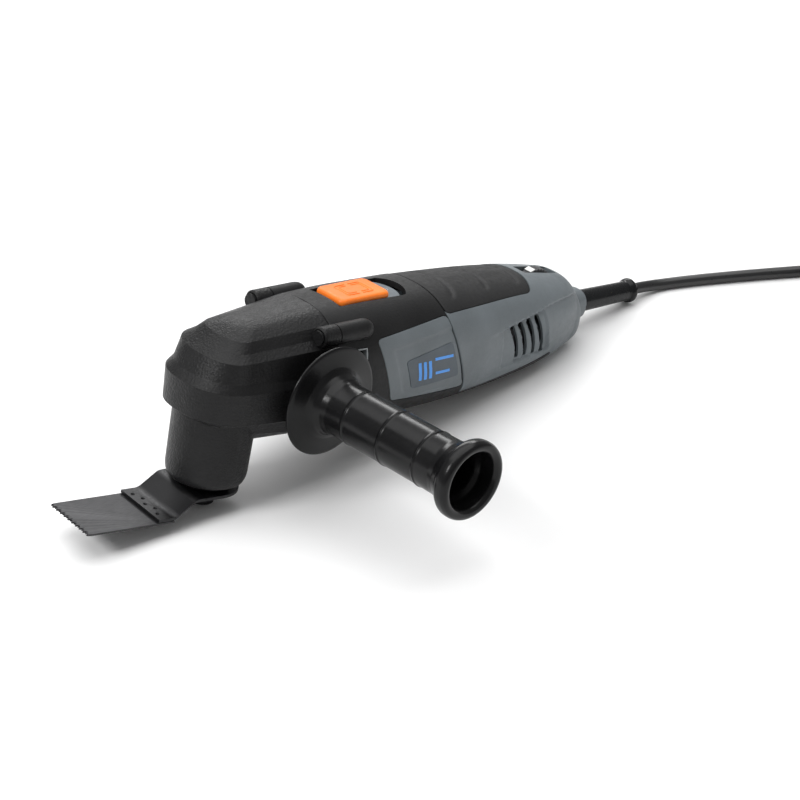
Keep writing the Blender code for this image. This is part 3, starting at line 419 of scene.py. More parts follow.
def piece(name, shape, mat, body="root", stands_for=(), space=TOOL, smooth=32.0):
    """Set a finished shape down in the world and hang it on its body."""
    obj = working(name, shape) if isinstance(shape, bmesh.types.BMesh) else shape
    obj.name = name
    obj.data.transform(space)
    obj.data.materials.clear()
    obj.data.materials.append(MATS[mat])
    obj.data.shade_smooth()
    obj.data.set_sharp_from_angle(angle=math.radians(smooth))
    weighted = obj.modifiers.new("normals", "WEIGHTED_NORMAL")
    weighted.keep_sharp = True
    weighted.weight = 80
    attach(obj, body)
    if stands_for:
        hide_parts(*stands_for)
    return obj


# ---- cord, coil and plug
CORD_RADIUS = 3.0
COIL_CENTRE = SPINDLE_FOOT + Vector((395.5, -103.3, 0.0))
COIL_START, COIL_END = 57.7, 90.0
COIL_TURNS = 6 + (COIL_START - COIL_END + 360.0) / 360.0
COIL_STEPS = 36
COIL_LEAD_IN = Vector((-19.9, 12.6, 0.0))
OUTER_TURN = 44.0
LAYER_RISE = 6.1
FLOOR_GAP = 0.1
ROUTE_STEP = 3.0
LEAD_ROUTE = ((299.0, -0.1, 5.2), (306.5, -1.1, 4.0), (314.0, -3.5, 3.3), (323.0, -7.6, 3.1),
              (338.0, -15.8, 3.1), (357.0, -27.0, 3.1), (380.0, -41.3, 3.1))
TAIL_ROUTE = ((419.6, -59.3, 8.9), (429.0, -59.4, 8.0), (440.0, -59.5, 7.0), (448.4, -59.5, 6.9))
PLUG_NECK = SPINDLE_FOOT + Vector((449.0, -59.5, 6.9))
PIN_START, PIN_OFFSET = 36.3, 9.3
RELIEF_EXIT = 296.3
REAR_AXIS = (0.0, 3.6)


def spline_through(points):
    """Points at a steady spacing on a smooth curve through the given ones."""
    path = [Vector(p) for p in points]
    path = [path[0] * 2 - path[1]] + path + [path[-1] * 2 - path[-2]]
    result = []
    for a, b, c, d in zip(path, path[1:], path[2:], path[3:]):
        steps = max(1, round((c - b).length / ROUTE_STEP))
        result += [curve_between(a, b, c, d, k / steps) for k in range(steps)]
    return result + [path[-2]]


def coil_point(turn):
    """Flat turns side by side, inwards on the floor and outwards again on top."""
    rise = smooth_step((turn - 3.0) / 0.41)
    steps_in = sum(smooth_step((turn - k + 0.30) / 0.30) for k in (1, 2, 3))
    steps_out = sum(smooth_step((turn - k + 0.39) / 0.30) for k in (4, 5, 6))
    radius = OUTER_TURN - 2 * CORD_RADIUS * (steps_in - steps_out)
    angle = math.radians(COIL_START) - 2 * math.pi * turn
    height = CORD_RADIUS + FLOOR_GAP + LAYER_RISE * rise
    return COIL_CENTRE + Vector((radius * math.cos(angle), radius * math.sin(angle), height))


def cord_path():
    """From the strain relief over the floor, round the coil and on to the plug, in metres."""
    exit_point = TOOL @ Vector((RELIEF_EXIT, *REAR_AXIS)) / MM
    route = [exit_point] + [SPINDLE_FOOT + Vector(p) for p in LEAD_ROUTE]
    route = spline_through(route + [coil_point(0.0) + COIL_LEAD_IN])
    count = round(COIL_TURNS * COIL_STEPS)
    route += [coil_point(COIL_TURNS * k / count) for k in range(count + 1)]
    tail = [coil_point(COIL_TURNS)] + [SPINDLE_FOOT + Vector(p) for p in TAIL_ROUTE]
    return [p * MM for p in route + spline_through(tail)[1:]]


def mains_lead():
    path = cord_path()
    curve = bpy.data.curves.new("mains_lead", "CURVE")
    curve.dimensions = "3D"
    curve.bevel_depth = CORD_RADIUS * MM
    curve.bevel_resolution = 6
    curve.use_fill_caps = True
    spline = curve.splines.new("POLY")
    spline.points.add(len(path) - 1)
    spline.use_smooth = True
    for target, point in zip(spline.points, path):
        target.co = (*point, 1.0)
    curve.materials.append(MATS["cord"])
    lead = placed("mains_lead", curve)
    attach(lead, "root")
    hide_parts("cord", "cord_coil", "cord_tail")
    length = sum((b - a).length for a, b in zip(path, path[1:]))
    return lead, path[0], length


def coil_strap():
    """Hook-and-loop strap over the coil."""
    inner = [(22.2, 0.15), (22.2, 12.75), (47.35, 12.75), (47.35, 0.15)]
    outer = [(48.5, 0.15), (48.5, 13.9), (21.0, 13.9), (21.0, 0.15)]
    outline = rounded(inner + outer, 1.3, 5)
    rings = []
    for y in (-4.0, -3.7, 3.7, 4.0):
        tight = 0.12 if abs(y) > 3.9 else 0.0
        rings.append([COIL_CENTRE + Vector((x, y, z + tight)) for x, z in outline])
    return piece("coil_strap", skin(rings), "tie", stands_for=["cord_tie"], space=WORLD)


def plug_pieces():
    rings = []
    for x, wide, tall in ((0.0, 3.9, 3.9), (0.5, 4.2, 4.2), (4.0, 4.9, 4.7), (6.5, 6.2, 5.3),
                          (9.0, 8.4, 5.9), (13.0, 12.4, 6.4), (18.0, 15.6, 6.65), (22.0, 17.0, 6.75),
                          (26.0, 17.6, 6.8), (34.8, 17.6, 6.8), (35.7, 17.2, 6.5), (36.0, 16.4, 6.0)):
        ring = rounded_rectangle(wide, tall, min(wide, tall) * 0.82, 10)
        rings.append([PLUG_NECK + Vector((x, y, z)) for y, z in ring])
    body = working("plug_body", skin(rings))
    grooves = []
    for k in range(4):
        x = PLUG_NECK.x + 23.0 + 2.8 * k
        for y in (PLUG_NECK.y + 17.0, PLUG_NECK.y - 17.0):
            grooves.append(block((x, y - 1.2, 0.0), (x + 1.2, y + 1.2, 14.0)))
    cut(body, merged(*grooves))
    made = [piece("plug_body", body, "plug", stands_for=["plug"], space=WORLD)]
    start = PLUG_NECK.x + PIN_START
    for side, name in SIDES:
        profile = rounded([(2.0, start), (2.0, start + 17.6), (1.1, start + 19.0)], 0.6, 5, False)
        centre = (PLUG_NECK.y + PIN_OFFSET * side, PLUG_NECK.z)
        pin = turned(profile + [(0.05, start + 19.0)], "X", 24, centre)
        made.append(piece(f"plug_prong_{name}", pin, "brass",
                          stands_for=[f"plug_pin_{name}"], space=WORLD))
    return made


lead_piece, lead_exit, lead_length = mains_lead()
lead_pieces = [coil_strap()] + plug_pieces()


# ---- body surface
# x, half width, top and bottom of the body's sections
BODY = (
    (47.0, 30.8, 36.7, -26.3),
    (75.0, 32.6, 36.7, -27.2),
    (100.0, 33.0, 36.1, -27.8),
    (125.0, 32.8, 35.4, -27.6),
    (150.0, 31.7, 34.1, -26.6),
    (175.0, 29.8, 32.5, -24.7),
    (200.0, 27.4, 29.8, -21.7),
    (220.0, 23.6, 26.8, -18.0),
    (230.0, 20.2, 24.6, -16.0),
    (236.0, 17.6, 19.0, -14.6),
    (240.0, 15.0, 14.6, -12.6),
    (242.5, 9.9, 12.2, -6.8),
    (246.0, 9.2, 12.0, -5.4),
    (252.0, 8.0, 11.4, -4.4),
)
SECTION_POWER = 2.0 / 2.45
WALL = 3.0
GAP = 0.25
SKIN = 1.7
SLOT_WIDTH = 3.8
FRONT_FACE = 47.8
SEAM_TOP = 122.5
SEAM_RAKE = 0.5
SEAM_CURVE = 15.0
PANEL_LENGTH = 52.0
ROUND = 200
RING_ANGLES = [360.0 * (k + 0.5) / ROUND for k in range(ROUND)]
HANDLE_X = 40.2
HANDLE_AXIS = (0.0, HANDLE_X)


def body_section(x):
    """Half width, top and bottom of the body at x, on a smooth curve."""
    x = clamp(x, BODY[0][0], BODY[-1][0])
    k = 0
    while k < len(BODY) - 2 and x > BODY[k + 1][0]:
        k += 1
    p0, p1 = BODY[max(k - 1, 0)], BODY[k]
    p2, p3 = BODY[k + 1], BODY[min(k + 2, len(BODY) - 1)]
    span = p2[0] - p1[0]
    t = (x - p1[0]) / span
    values = []
    for i in (1, 2, 3):
        m1 = (p2[i] - p0[i]) / (p2[0] - p0[0]) * span
        m2 = (p3[i] - p1[i]) / (p3[0] - p1[0]) * span
        rise = p2[i] - p1[i]
        values.append(p1[i] + smooth_step(t) * rise + t * (1 - t) * ((1 - t) * m1 - t * m2))
    return values


def body_point(x, angle, offset=0.0):
    """Point on the body at an angle from the top towards the left side."""
    half_width, top, bottom = body_section(x)
    middle, half_height = (top + bottom) / 2, (top - bottom) / 2
    s, c = math.sin(math.radians(angle)), math.cos(math.radians(angle))
    y = -math.copysign(abs(s) ** SECTION_POWER, s) * (half_width + offset)
    z = middle + math.copysign(abs(c) ** SECTION_POWER, c) * (half_height + offset)
    return (x, y, z)


def seam_x(angle):
    """Where the motor housing meets the rear housing, raked back towards the belly."""
    drop = body_point(SEAM_TOP, 0)[2] - body_point(SEAM_TOP, angle)[2]
    return SEAM_TOP + SEAM_RAKE * (math.hypot(drop, SEAM_CURVE) - SEAM_CURVE)


def grid_lines(length, step, rim):
    """Shares of a length, close together within the rounded rim at both ends."""
    near = [rim * t for t in (0.0, 0.08, 0.3, 0.65, 1.0)] if rim else [0.0]
    start = near[-1]
    count = max(2, math.ceil((length - 2 * start) / step))
    middle = [start + (length - 2 * start) * k / count for k in range(1, count)]
    return [p / length for p in near + middle + [length - p for p in reversed(near)]]


def corner_mapped(u, v, size, corner):
    """Bend the square corners of a patch into arcs of the given radius."""
    width, height = size
    a, b = (2 * u - 1) * width / 2, (2 * v - 1) * height / 2
    over_a = max(0.0, (abs(a) - width / 2 + corner) / corner)
    over_b = max(0.0, (abs(b) - height / 2 + corner) / corner)
    if over_a and over_b:
        new_a = over_a * math.sqrt(1 - over_b * over_b / 2)
        new_b = over_b * math.sqrt(1 - over_a * over_a / 2)
        a = math.copysign(width / 2 - corner + corner * new_a, a)
        b = math.copysign(height / 2 - corner + corner * new_b, b)
    return a / width + 0.5, b / height + 0.5


def flat_lift(_x, _angle):
    return 0.0


def shell_ring(edge, offset=0.0, lift=flat_lift):
    """Ring of body points along an edge, which gives x at each angle."""
    return [body_point(edge(a), a, offset + lift(edge(a), a)) for a in RING_ANGLES]


def between(start, end, share):
    """The edge at a share of the way from one edge to another."""
    return lambda angle: start(angle) + (end(angle) - start(angle)) * share


def patch(x_limits, angle_limits, depth, step=2.2, rim=0.0, corner=0.0, grow=0.0, lift=flat_lift):
    """Curved panel on the body with a rounded rim, rounded corners and surface relief."""
    middle = (angle_limits[0](SEAM_TOP) + angle_limits[1](SEAM_TOP)) / 2
    width = x_limits[1](middle) - x_limits[0](middle) + 2 * grow
    x = (x_limits[0](middle) + x_limits[1](middle)) / 2
    first, last = angle_limits[0](x), angle_limits[1](x)
    samples = [Vector(body_point(x, first + (last - first) * k / 24)) for k in range(25)]
    height = sum((b - a).length for a, b in zip(samples, samples[1:])) + 2 * grow
    per_mm = (last - first) / max(height - 2 * grow, 1.0)
    layers = ([], [])
    for u in grid_lines(width, step, rim):
        rows = ([], [])
        for v in grid_lines(height, step, rim):
            edge = min(u * width, (1 - u) * width, v * height, (1 - v) * height)
            drop = 0.0
            if rim and edge < rim:
                drop = rim - math.sqrt(max(0.0, rim * rim - (rim - edge) ** 2))
            a, b = corner_mapped(u, v, (width, height), corner + grow) if corner else (u, v)
            x, angle = SEAM_TOP, middle
            for _ in range(4):
                low = angle_limits[0](x) - grow * per_mm
                high = angle_limits[1](x) + grow * per_mm
                angle = low + (high - low) * b
                start, end = x_limits[0](angle) - grow, x_limits[1](angle) + grow
                x = start + (end - start) * a
            rows[0].append(body_point(x, angle, depth[0]))
            rows[1].append(body_point(x, angle, depth[1] - drop + lift(x, angle)))
        layers[0].append(rows[0])
        layers[1].append(rows[1])
    return closed_sheet(layers)


def closed_sheet(layers):
    """Solid between an inner and an outer grid of points, joined round the rim."""
    bm = bmesh.new()
    layers = [[[bm.verts.new(point) for point in row] for row in layer] for layer in layers]
    rows, columns = len(layers[0]), len(layers[0][0])
    for layer in layers:
        for i in range(rows - 1):
            for j in range(columns - 1):
                bm.faces.new((layer[i][j], layer[i + 1][j], layer[i + 1][j + 1], layer[i][j + 1]))
    rim = [(0, j) for j in range(columns)]
    rim += [(i, columns - 1) for i in range(1, rows)]
    rim += [(rows - 1, j) for j in range(columns - 2, -1, -1)]
    rim += [(i, 0) for i in range(rows - 2, 0, -1)]
    for (i, j), (m, n) in zip(rim, rim[1:] + rim[:1]):
        bm.faces.new((layers[0][i][j], layers[0][m][n], layers[1][m][n], layers[1][i][j]))
    bmesh.ops.recalc_face_normals(bm, faces=bm.faces)
    return bm


def constant(value):
    return lambda _: value


def seam_shift(shift):
    return lambda angle: seam_x(angle) + shift


def sloped(angle, slope, origin):
    """Edge along the body whose angle changes steadily with x."""
    return lambda x: angle + slope * (x - origin)


def grip_end(angle):
    return 197.0 - 0.004 * angle * angle


panel_top, panel_bottom = sloped(59.0, -0.25, 72.0), sloped(112.8, 0.06, 78.0)
badge_top, badge_low = sloped(83.0, -0.30, 93.0), sloped(105.5, -0.09, 93.0)
grip_first, grip_last = sloped(-45.8, 0.115, 124.0), sloped(45.8, -0.115, 124.0)
belly_first, belly_last = sloped(129.5, -0.11, 145.0), sloped(230.5, 0.11, 145.0)
PANEL_CORNER, BADGE_CORNER = 3.2, 2.2
PANEL = ((seam_shift(-PANEL_LENGTH), seam_shift(-GAP)), (panel_top, panel_bottom))
BADGE = ((seam_shift(-37.0), seam_shift(-2.8)), (badge_top, badge_low))
WINDOW = ((constant(59.6), constant(66.2)), (constant(64.0), constant(76.0)))
TOP_GRIP = ((seam_shift(GAP), grip_end), (grip_first, grip_last))
BELLY = ((seam_shift(GAP), constant(213.5)), (belly_first, belly_last))


# ---- gear head
# z at the nose and at the rear, x of the nose and of the widest line, half widths there and at the rear
HEAD_TIERS = (
    (-23.0, -25.8, -13.0, 1.0, 13.0, 15.0),
    (-17.0, -21.5, -16.0, 0.0, 17.0, 23.5),
    (-10.5, -14.5, -20.0, 0.0, 20.5, 27.6),
    (-8.5, -12.0, -23.6, 0.0, 25.0, 28.6),
    (7.5, 5.5, -24.4, 0.0, 26.0, 30.6),
    (11.5, 9.5, -20.9, -0.4, 23.4, 29.0),
    (20.5, 24.0, -16.6, -1.0, 22.8, 27.6),
    (23.9, 27.2, -11.9, 0.8, 18.7, 22.7),
    (28.4, 31.8, -6.4, 3.0, 15.4, 19.4),
    (32.2, 35.6, 1.0, 10.0, 9.4, 12.6),
    (33.8, 36.9, 8.0, 17.0, 3.2, 5.0),
)
FIRST_CROWN_TIER = 8
CROWN_STEPS = 5
NOSE_POWER = 0.85
HEAD_REAR = 47.2
EAR = (-24.0, 28.6)


def head_outline(tier, nose_steps=26, side_steps=12):
    """One D-shaped plan outline, from the rear left corner round the nose."""
    low, high, nose, middle, half_nose, half_rear = tier
    half = []
    for k in range(nose_steps + 1):
        angle = math.radians(90.0 * k / nose_steps)
        x = middle - (middle - nose) * math.cos(angle) ** NOSE_POWER
        half.append((x, half_nose * math.sin(angle) ** NOSE_POWER))
    for share in ((k + 1) / side_steps for k in range(side_steps)):
        half.append((middle + (HEAD_REAR - middle) * share, half_nose + (half_rear - half_nose) * share))
    outline = [(x, -y) for x, y in reversed(half)] + half[1:]
    return [(x, y, low + (high - low) * (x - nose) / (HEAD_REAR - nose)) for x, y in outline]


def crown_tiers():
    """The upper tiers, rounded into a dome by a smooth curve through them."""
    top = HEAD_TIERS[FIRST_CROWN_TIER:]
    result = []
    for k in range(len(top) - 1):
        four = (top[max(k - 1, 0)], top[k], top[k + 1], top[min(k + 2, len(top) - 1)])
        for step in range(CROWN_STEPS):
            result.append([curve_between(*values, step / CROWN_STEPS) for values in zip(*four)])
    return result + [top[-1]]


def head_casing():
    """Gear head with its collar, ears and handle bosses."""
    tiers = list(HEAD_TIERS[:FIRST_CROWN_TIER]) + crown_tiers()
    head = bevelled(working("head_casing", skin([head_outline(t) for t in tiers])), 0.6, 9.0, 3)
    collar = [(14.0, -46.4), (16.2, -46.6), (18.7, -45.6), (19.6, -43.2), (19.9, -40.6), (20.6, -6.0)]
    cut(head, turned(rounded(collar, 0.9, 4, False), steps=128), "UNION")
    joins = []
    for side in (1, -1):
        ear = rounded([(4.4, 37.2), (5.2, 38.0), (5.2, 47.2)], 0.5, 4, False)
        joins.append(mirrored(turned(ear, "X", 40, EAR), side))
        boss = rounded([(7.4, -26.0), (6.6, -31.3), (4.9, -31.3)], 0.4, 4, False)
        joins.append(mirrored(turned(boss, "Y", 40, HANDLE_AXIS), side))
    cut(head, merged(*joins), "UNION")
    cutters = [block((-12.5, -17.0, -12.0), (60.0, 17.0, 18.0)),
               turned([(13.3, -51.6), (13.3, -11.9)], steps=64)]
    for side in (1, -1):
        scoop = [(0.6, 8.0), (2.9, 13.0), (4.7, 22.0), (5.6, 31.0), (5.7, 37.0)]
        cutters.append(mirrored(turned(scoop, "X", 32, (-24.9, 30.4)), side))
        cutters.append(mirrored(turned([(4.2, -40.0), (4.2, -17.1)], "Y", 32, HANDLE_AXIS), side))
        cutters.append(mirrored(turned([(3.7, 36.0), (3.7, 41.0)], "X", 32, EAR), side))
    cut(head, merged(*cutters))
    piece("head_casing", head, "head", stands_for=["gear_housing"], smooth=26.0)


def ear_screws():
    for side, name in SIDES:
        profile = [(0.05, 38.9), (2.7, 38.9), (3.3, 39.4), (3.3, 40.7), (1.75, 40.7), (1.75, 62.0)]
        screw = working("screw", mirrored(turned(rounded(profile, 0.3, 3, False), "X", 32, EAR), side))
        for w, t in ((2.0, 0.45), (0.45, 2.0)):
            slot = block((37.0, EAR[0] - w, EAR[1] - t), (40.0, EAR[0] + w, EAR[1] + t))
            cut(screw, mirrored(slot, side))
        piece(f"casing_screw_{name}", screw, "dark_steel", stands_for=[f"head_screw_{name}"])


head_casing()
ear_screws()


# ---- motor housing
PLATE_HALF_WIDTH = 10.8
PLATE_X = (62.0, 108.6)
PLATE_SAG = 5.0
FRAME_HEIGHT = 0.8
INNER_SHARES = (1.0, 0.66, 0.33, 0.0)


def plate_outline(grow=0.0, rear_grow=None):
    """Switch plate: square at the front, with an arc at the rear."""
    half, front = PLATE_HALF_WIDTH + grow, PLATE_X[0] - grow
    rear = PLATE_X[1] + (grow if rear_grow is None else rear_grow)
    radius = (half * half + PLATE_SAG * PLATE_SAG) / (2 * PLATE_SAG)
    reach = math.degrees(math.asin(half / radius))
    bow = arc((rear - radius, 0), radius, -reach, reach, 28)
    return [(front, half), (front, -half)] + bow


def motor_shell():
    """Hollow front shell with the rear half of the ears and the cut-outs for its panels."""
    front, rear = constant(FRONT_FACE), seam_shift(-GAP)
    shares = [(0.0, -0.4), (0.002, -0.14), (0.005, 0.0)]
    shares += [(0.005 + 0.99 * k / 26, 0.0) for k in range(1, 27)]
    shares += [(0.998, -0.14), (1.0, -0.4)]
    outer = [shell_ring(between(front, rear, share), offset) for share, offset in shares]
    inner = [shell_ring(between(front, rear, share), -WALL) for share in INNER_SHARES]
    shell = working("motor_shell", skin(outer + inner, closed=True))
    ears = []
    for side in (1, -1):
        profile = [(5.2, FRONT_FACE), (5.2, 66.0), (4.9, 68.0), (4.1, 69.8), (2.9, 70.8), (0.6, 71.0)]
        ears.append(mirrored(turned(rounded(profile, 0.8, 4, False), "X", 40, EAR), side))
    cut(shell, merged(*ears), "UNION")
    cutters = [prism(plate_outline(GAP, 3.4), 24.0, 45.0)]
    for side in (1, -1):
        cutters.append(mirrored(patch(*PANEL, (-SKIN - GAP, 4.0), 3.0, 0.0, PANEL_CORNER, GAP), side))
        cutters.append(mirrored(patch(*WINDOW, (-8.0, 6.0), 2.0, 0.0, 0.0), side))
    cut(shell, merged(*cutters))
    piece("motor_shell", shell, "body", stands_for=["motor_housing"], smooth=30.0)


def panel_lift(x, angle):
    """Raised frame on the side panel round the badge field."""
    ahead = smooth_step((x - seam_x(angle) + 44.5) / 1.6)
    top = smooth_step((angle - panel_top(x) - 13.5) / 2.5)
    low = smooth_step((panel_bottom(x) - angle - 5.2) / 2.5)
    return -FRAME_HEIGHT * ahead * top * low


def raked_edge(shift):
    """Slanted edge of a badge stripe, ahead of the seam by the shift."""
    return lambda angle: seam_x(angle) + shift - 0.16 * (angle - 89.0)


def badge_bars():
    """Plain slanted stripes and two short bars, printed in blue."""
    bars = [(-30.0 + 3.6 * k, 2.0, 86.0, 98.0) for k in range(3)]
    bars += [(-18.2, 13.0, 84.5, 86.6), (-18.2, 10.0, 93.4, 95.5)]
    shapes = []
    for start, length, low, high in bars:
        limits = (raked_edge(start), raked_edge(start + length))
        shapes.append(patch(limits, (constant(low), constant(high)), (-0.75, -0.52), 1.0))
    return merged(*shapes)


def side_pieces():
    for side, name in SIDES:
        panel = patch(*PANEL, (-SKIN, 0.0), 1.3, 0.5, PANEL_CORNER, lift=panel_lift)
        panel = working("panel", mirrored(panel, side))
        cut(panel, mirrored(patch(*BADGE, (-1.25, 3.0), 2.0, 0.0, BADGE_CORNER, 0.15), side))
        piece(f"side_skin_{name}", panel, "gray", stands_for=[f"side_panel_{name}"])
        badge = patch(*BADGE, (-1.2, -0.6), 2.0, 0.15, BADGE_CORNER)
        piece(f"badge_plate_{name}", mirrored(badge, side), "badge", stands_for=[f"badge_{name}"])
        piece(f"badge_stripes_{name}", mirrored(badge_bars(), side), "blue_ink")
        bezel = working("bezel", mirrored(patch(*WINDOW, (-2.6, 0.15), 1.0, 0.2, 0.4, -GAP), side))
        cut(bezel, mirrored(patch(*WINDOW, (-9.0, 6.0), 2.0, 0.0, 0.0, -1.0), side))
        piece(f"window_bezel_{name}", bezel, "trim", stands_for=[f"side_window_frame_{name}"])


motor_shell()
side_pieces()


# ---- rear housing
CREASE = ((140.0, 83.0), (162.0, 74.8), (184.2, 66.9), (205.6, 56.4), (218.9, 52.0), (232.0, 49.0))
VENT_LOW = 112.0
LOUVRE_DEPTH = 1.0
FIELD_DEPTH = 1.0
FLANK_DEPTH = 0.95
SLOTS = 4
LEVEL_RINGS = 200.0
GRIP_SINK = 0.27
DIAL_X, DIAL_Z = 214.0, 17.0


def crease_angle(x):
    """Angle of the crease that climbs along the flank, above the vents, towards the tail."""
    for (x1, a1), (x2, a2) in zip(CREASE, CREASE[1:]):
        if x <= x2:
            return a1 + (a2 - a1) * (x - x1) / (x2 - x1)
    return CREASE[-1][1] - (x - CREASE[-1][0]) * 1.2


def louvre_line(share):
    """Front edge of the first slot, and the pitch of the slots, at a share of their height."""
    return 170.7 + 8.8 * share + 3.6 * share * (1.0 - share), 6.8 + 0.3 * share


def slot_span(k):
    """Top of a slot and its height."""
    return 13.2 + 0.6 * k, 19.2 + 0.9 * k


def louvre_slope(x, angle):
    """Each louvre slopes in towards the slot ahead of it."""
    z = body_point(x, angle)[2]
    count = 1.5
    for _ in range(3):
        top, height = slot_span(clamp(math.floor(count), 0, SLOTS - 1))
        first, pitch = louvre_line(clamp((top - z) / height))
        count = (x - first) / pitch
    if count < 0.0 or count > SLOTS:
        return 0.0
    slot = SLOT_WIDTH / pitch
    share = max(0.0, (count % 1.0 - slot) / (1.0 - slot))
    reach = smooth_step((angle - crease_angle(x) - 1.2) / 1.6) * smooth_step((z + 9.6) / 1.6)
    return -LOUVRE_DEPTH * reach * (1.0 - share)


def rear_lift(x, angle):
    """Relief of the rear housing: a creased flank and a sunk field for the vents."""
    angle = min(angle, 360.0 - angle)
    below = smooth_step((angle - crease_angle(x)) / 1.2)
    flank = -FLANK_DEPTH * below * smooth_step((x - 150.0) / 16.0) * smooth_step((237.0 - x) / 5.0)
    flank *= smooth_step((128.0 - angle) / 10.0)
    field = smooth_step((angle - crease_angle(x) - 1.0) / 1.6) * smooth_step((VENT_LOW - angle) / 1.8)
    field *= smooth_step((x - 163.5 - 0.12 * (angle - 74.0)) / 1.4)
    field *= smooth_step((201.0 + 0.20 * (angle - 74.0) - x) / 1.2)
    return flank - FIELD_DEPTH * field + louvre_slope(x, angle)


def louvre_slot(k):
    """One raked, bowed cooling slot with rounded ends through the side wall."""
    top, height = slot_span(k)
    spine = []
    for share in (step / 12 for step in range(13)):
        first, pitch = louvre_line(share)
        spine.append((first + pitch * k, top - height * share))
    right = [(x + SLOT_WIDTH, z + 0.4) for x, z in reversed(spine)]
    outline = rounded(spine + right, 1.0, 4)
    return skin([[(x, y, z) for x, z in outline] for y in (-40.0, -16.0)])


def wall_lift(_x, angle):
    """Thicker wall behind the vents."""
    angle = min(angle, 360.0 - angle)
    return -1.5 * smooth_step((angle - 56.0) / 10.0) * smooth_step((126.0 - angle) / 10.0)


def rear_shell():
    """Hollow rear shell, from rings that follow the seam and level rings behind them."""
    front, middle, tail = seam_shift(GAP), constant(LEVEL_RINGS), BODY[-1][0]
    shares = [(0.0, -0.4), (0.003, -0.14), (0.008, 0.0)] + [(k / 120, 0.0) for k in range(2, 121)]
    outer = [shell_ring(between(front, middle, share), offset, rear_lift) for share, offset in shares]
    x = LEVEL_RINGS
    while x < tail - 1.0:
        x += 0.7 if x < 206.0 else 1.4 if x < 229.0 else 0.5
        outer.append(shell_ring(constant(x), 0.0, rear_lift))
    outer += [shell_ring(constant(tail)), shell_ring(constant(tail), -0.5)]
    inner = [shell_ring(constant(x), -WALL, wall_lift) for x in (240.0, 234.0, 226.0, 214.0)]
    inner += [shell_ring(between(front, middle, share), -WALL, wall_lift) for share in INNER_SHARES]
    shell = working("rear_shell", skin(outer[::-1] + inner[::-1]))
    cutters = [turned([(5.9, 230.0), (5.9, 270.0)], "X", 48, REAR_AXIS),
               patch(*TOP_GRIP, (-SKIN - GAP, 4.0), 3.0, 0.0, 2.5, GAP),
               patch(*BELLY, (-SKIN - GAP, 4.0), 3.0, 0.0, 1.5, GAP),
               prism(rounded_rectangle(12.6, 4.4, 1.0, 4, (DIAL_X, 0.0)), 20.0, 40.0)]
    cutters += [mirrored(louvre_slot(k), side) for k in range(SLOTS) for side in (1, -1)]
    cut(shell, merged(*cutters))
    piece("rear_shell", shell, "gray", stands_for=["rear_housing"], smooth=30.0)


def grip_lift(x, angle):
    """Three bowed finger grooves across the top grip, and a low ridge along its middle."""
    depth = 0.0
    for start, reach in ((139.5, 31.0), (165.5, 27.0), (190.0, 24.0)):
        middle = start - 6.0 * (abs(angle) / 31.0) ** 2
        away = abs(x - middle) / 1.5
        fade = smooth_step((reach - abs(angle)) / 6.0)
        depth = max(depth, 0.75 * fade * math.exp(-away * away))
    ridge = 0.25 * math.exp(-(angle / 3.5) ** 2) * smooth_step((x - 132.0) / 8.0)
    return ridge - depth - GRIP_SINK


def rear_skins():
    limits = ((seam_shift(GAP + 0.6), grip_end), (grip_first, grip_last))
    grip = patch(*limits, (-SKIN, 0.0), 1.1, 0.5, 2.5, lift=grip_lift)
    piece("top_grip_skin", grip, "grip", stands_for=["rear_top_grip"])
    piece("belly_skin", patch(*BELLY, (-SKIN, 0.0), 2.0, 0.5, 1.5), "grip", stands_for=["belly_strip"])


rear_shell()
rear_skins()


# ---- switch and dial
def bracket(middle, half_x, half_y, opening):
    """Rounded C-shaped line round a middle x, open towards +X or -X."""
    points = [(opening * half_x, half_y), (-opening * half_x, half_y),
              (-opening * half_x, -half_y), (opening * half_x, -half_y)]
    return [(middle + x, y) for x, y in rounded(points, 1.6, 6, False)]


def switch_pieces():
    """Slide button with its ribs, the plate round it and the mark behind it."""
    middle, half, wide, top, face = 81.1, 16.7, 10.1, 37.8, 37.72
    rings = []
    for inset, z in ((0.9, 34.1), (0.25, 34.35), (0.0, 34.9), (0.05, 36.0), (0.3, 36.8), (0.8, 37.35),
                     (1.6, 37.6), (3.0, 37.66), (5.0, face), (8.0, top)):
        ring = rounded_rectangle(half - inset, wide - inset, max(3.4 - inset * 0.5, 0.4), 10)
        rings.append([(x + middle, y, z) for x, y in ring])
    button = working("switch_button", skin(rings))
    cut(button, block((74.0, -4.0, 30.2), (82.0, 4.0, 35.5)), "UNION")
    lines = []
    for away, half_x, half_y in ((5.0, 3.6, 5.6), (4.4, 2.6, 3.9)):
        for opening in (1, -1):
            line = bracket(middle - opening * away, half_x, half_y, opening)
            lines.append(wire([(x, y, face) for x, y in line], 0.34))
    piece("switch_button", button, "orange", "switch", ["switch_knob"])
    piece("switch_ribs", merged(*lines), "orange", "switch")
    plate = bevelled(working("plate", prism(plate_outline(), 31.8, 33.8)), 0.4, 40.0)
    cut(plate, block((73.0, -4.4, 20.0), (91.0, 4.4, 45.0)))
    piece("switch_cover", plate, "slate", stands_for=["switch_plate"])
    ring = [(103.0 + x, y, 33.8) for x, y in arc((0, 0), 1.9, 0, 345, 30)]
    piece("switch_off_mark", wire(ring, 0.22, 8, True), "trim")


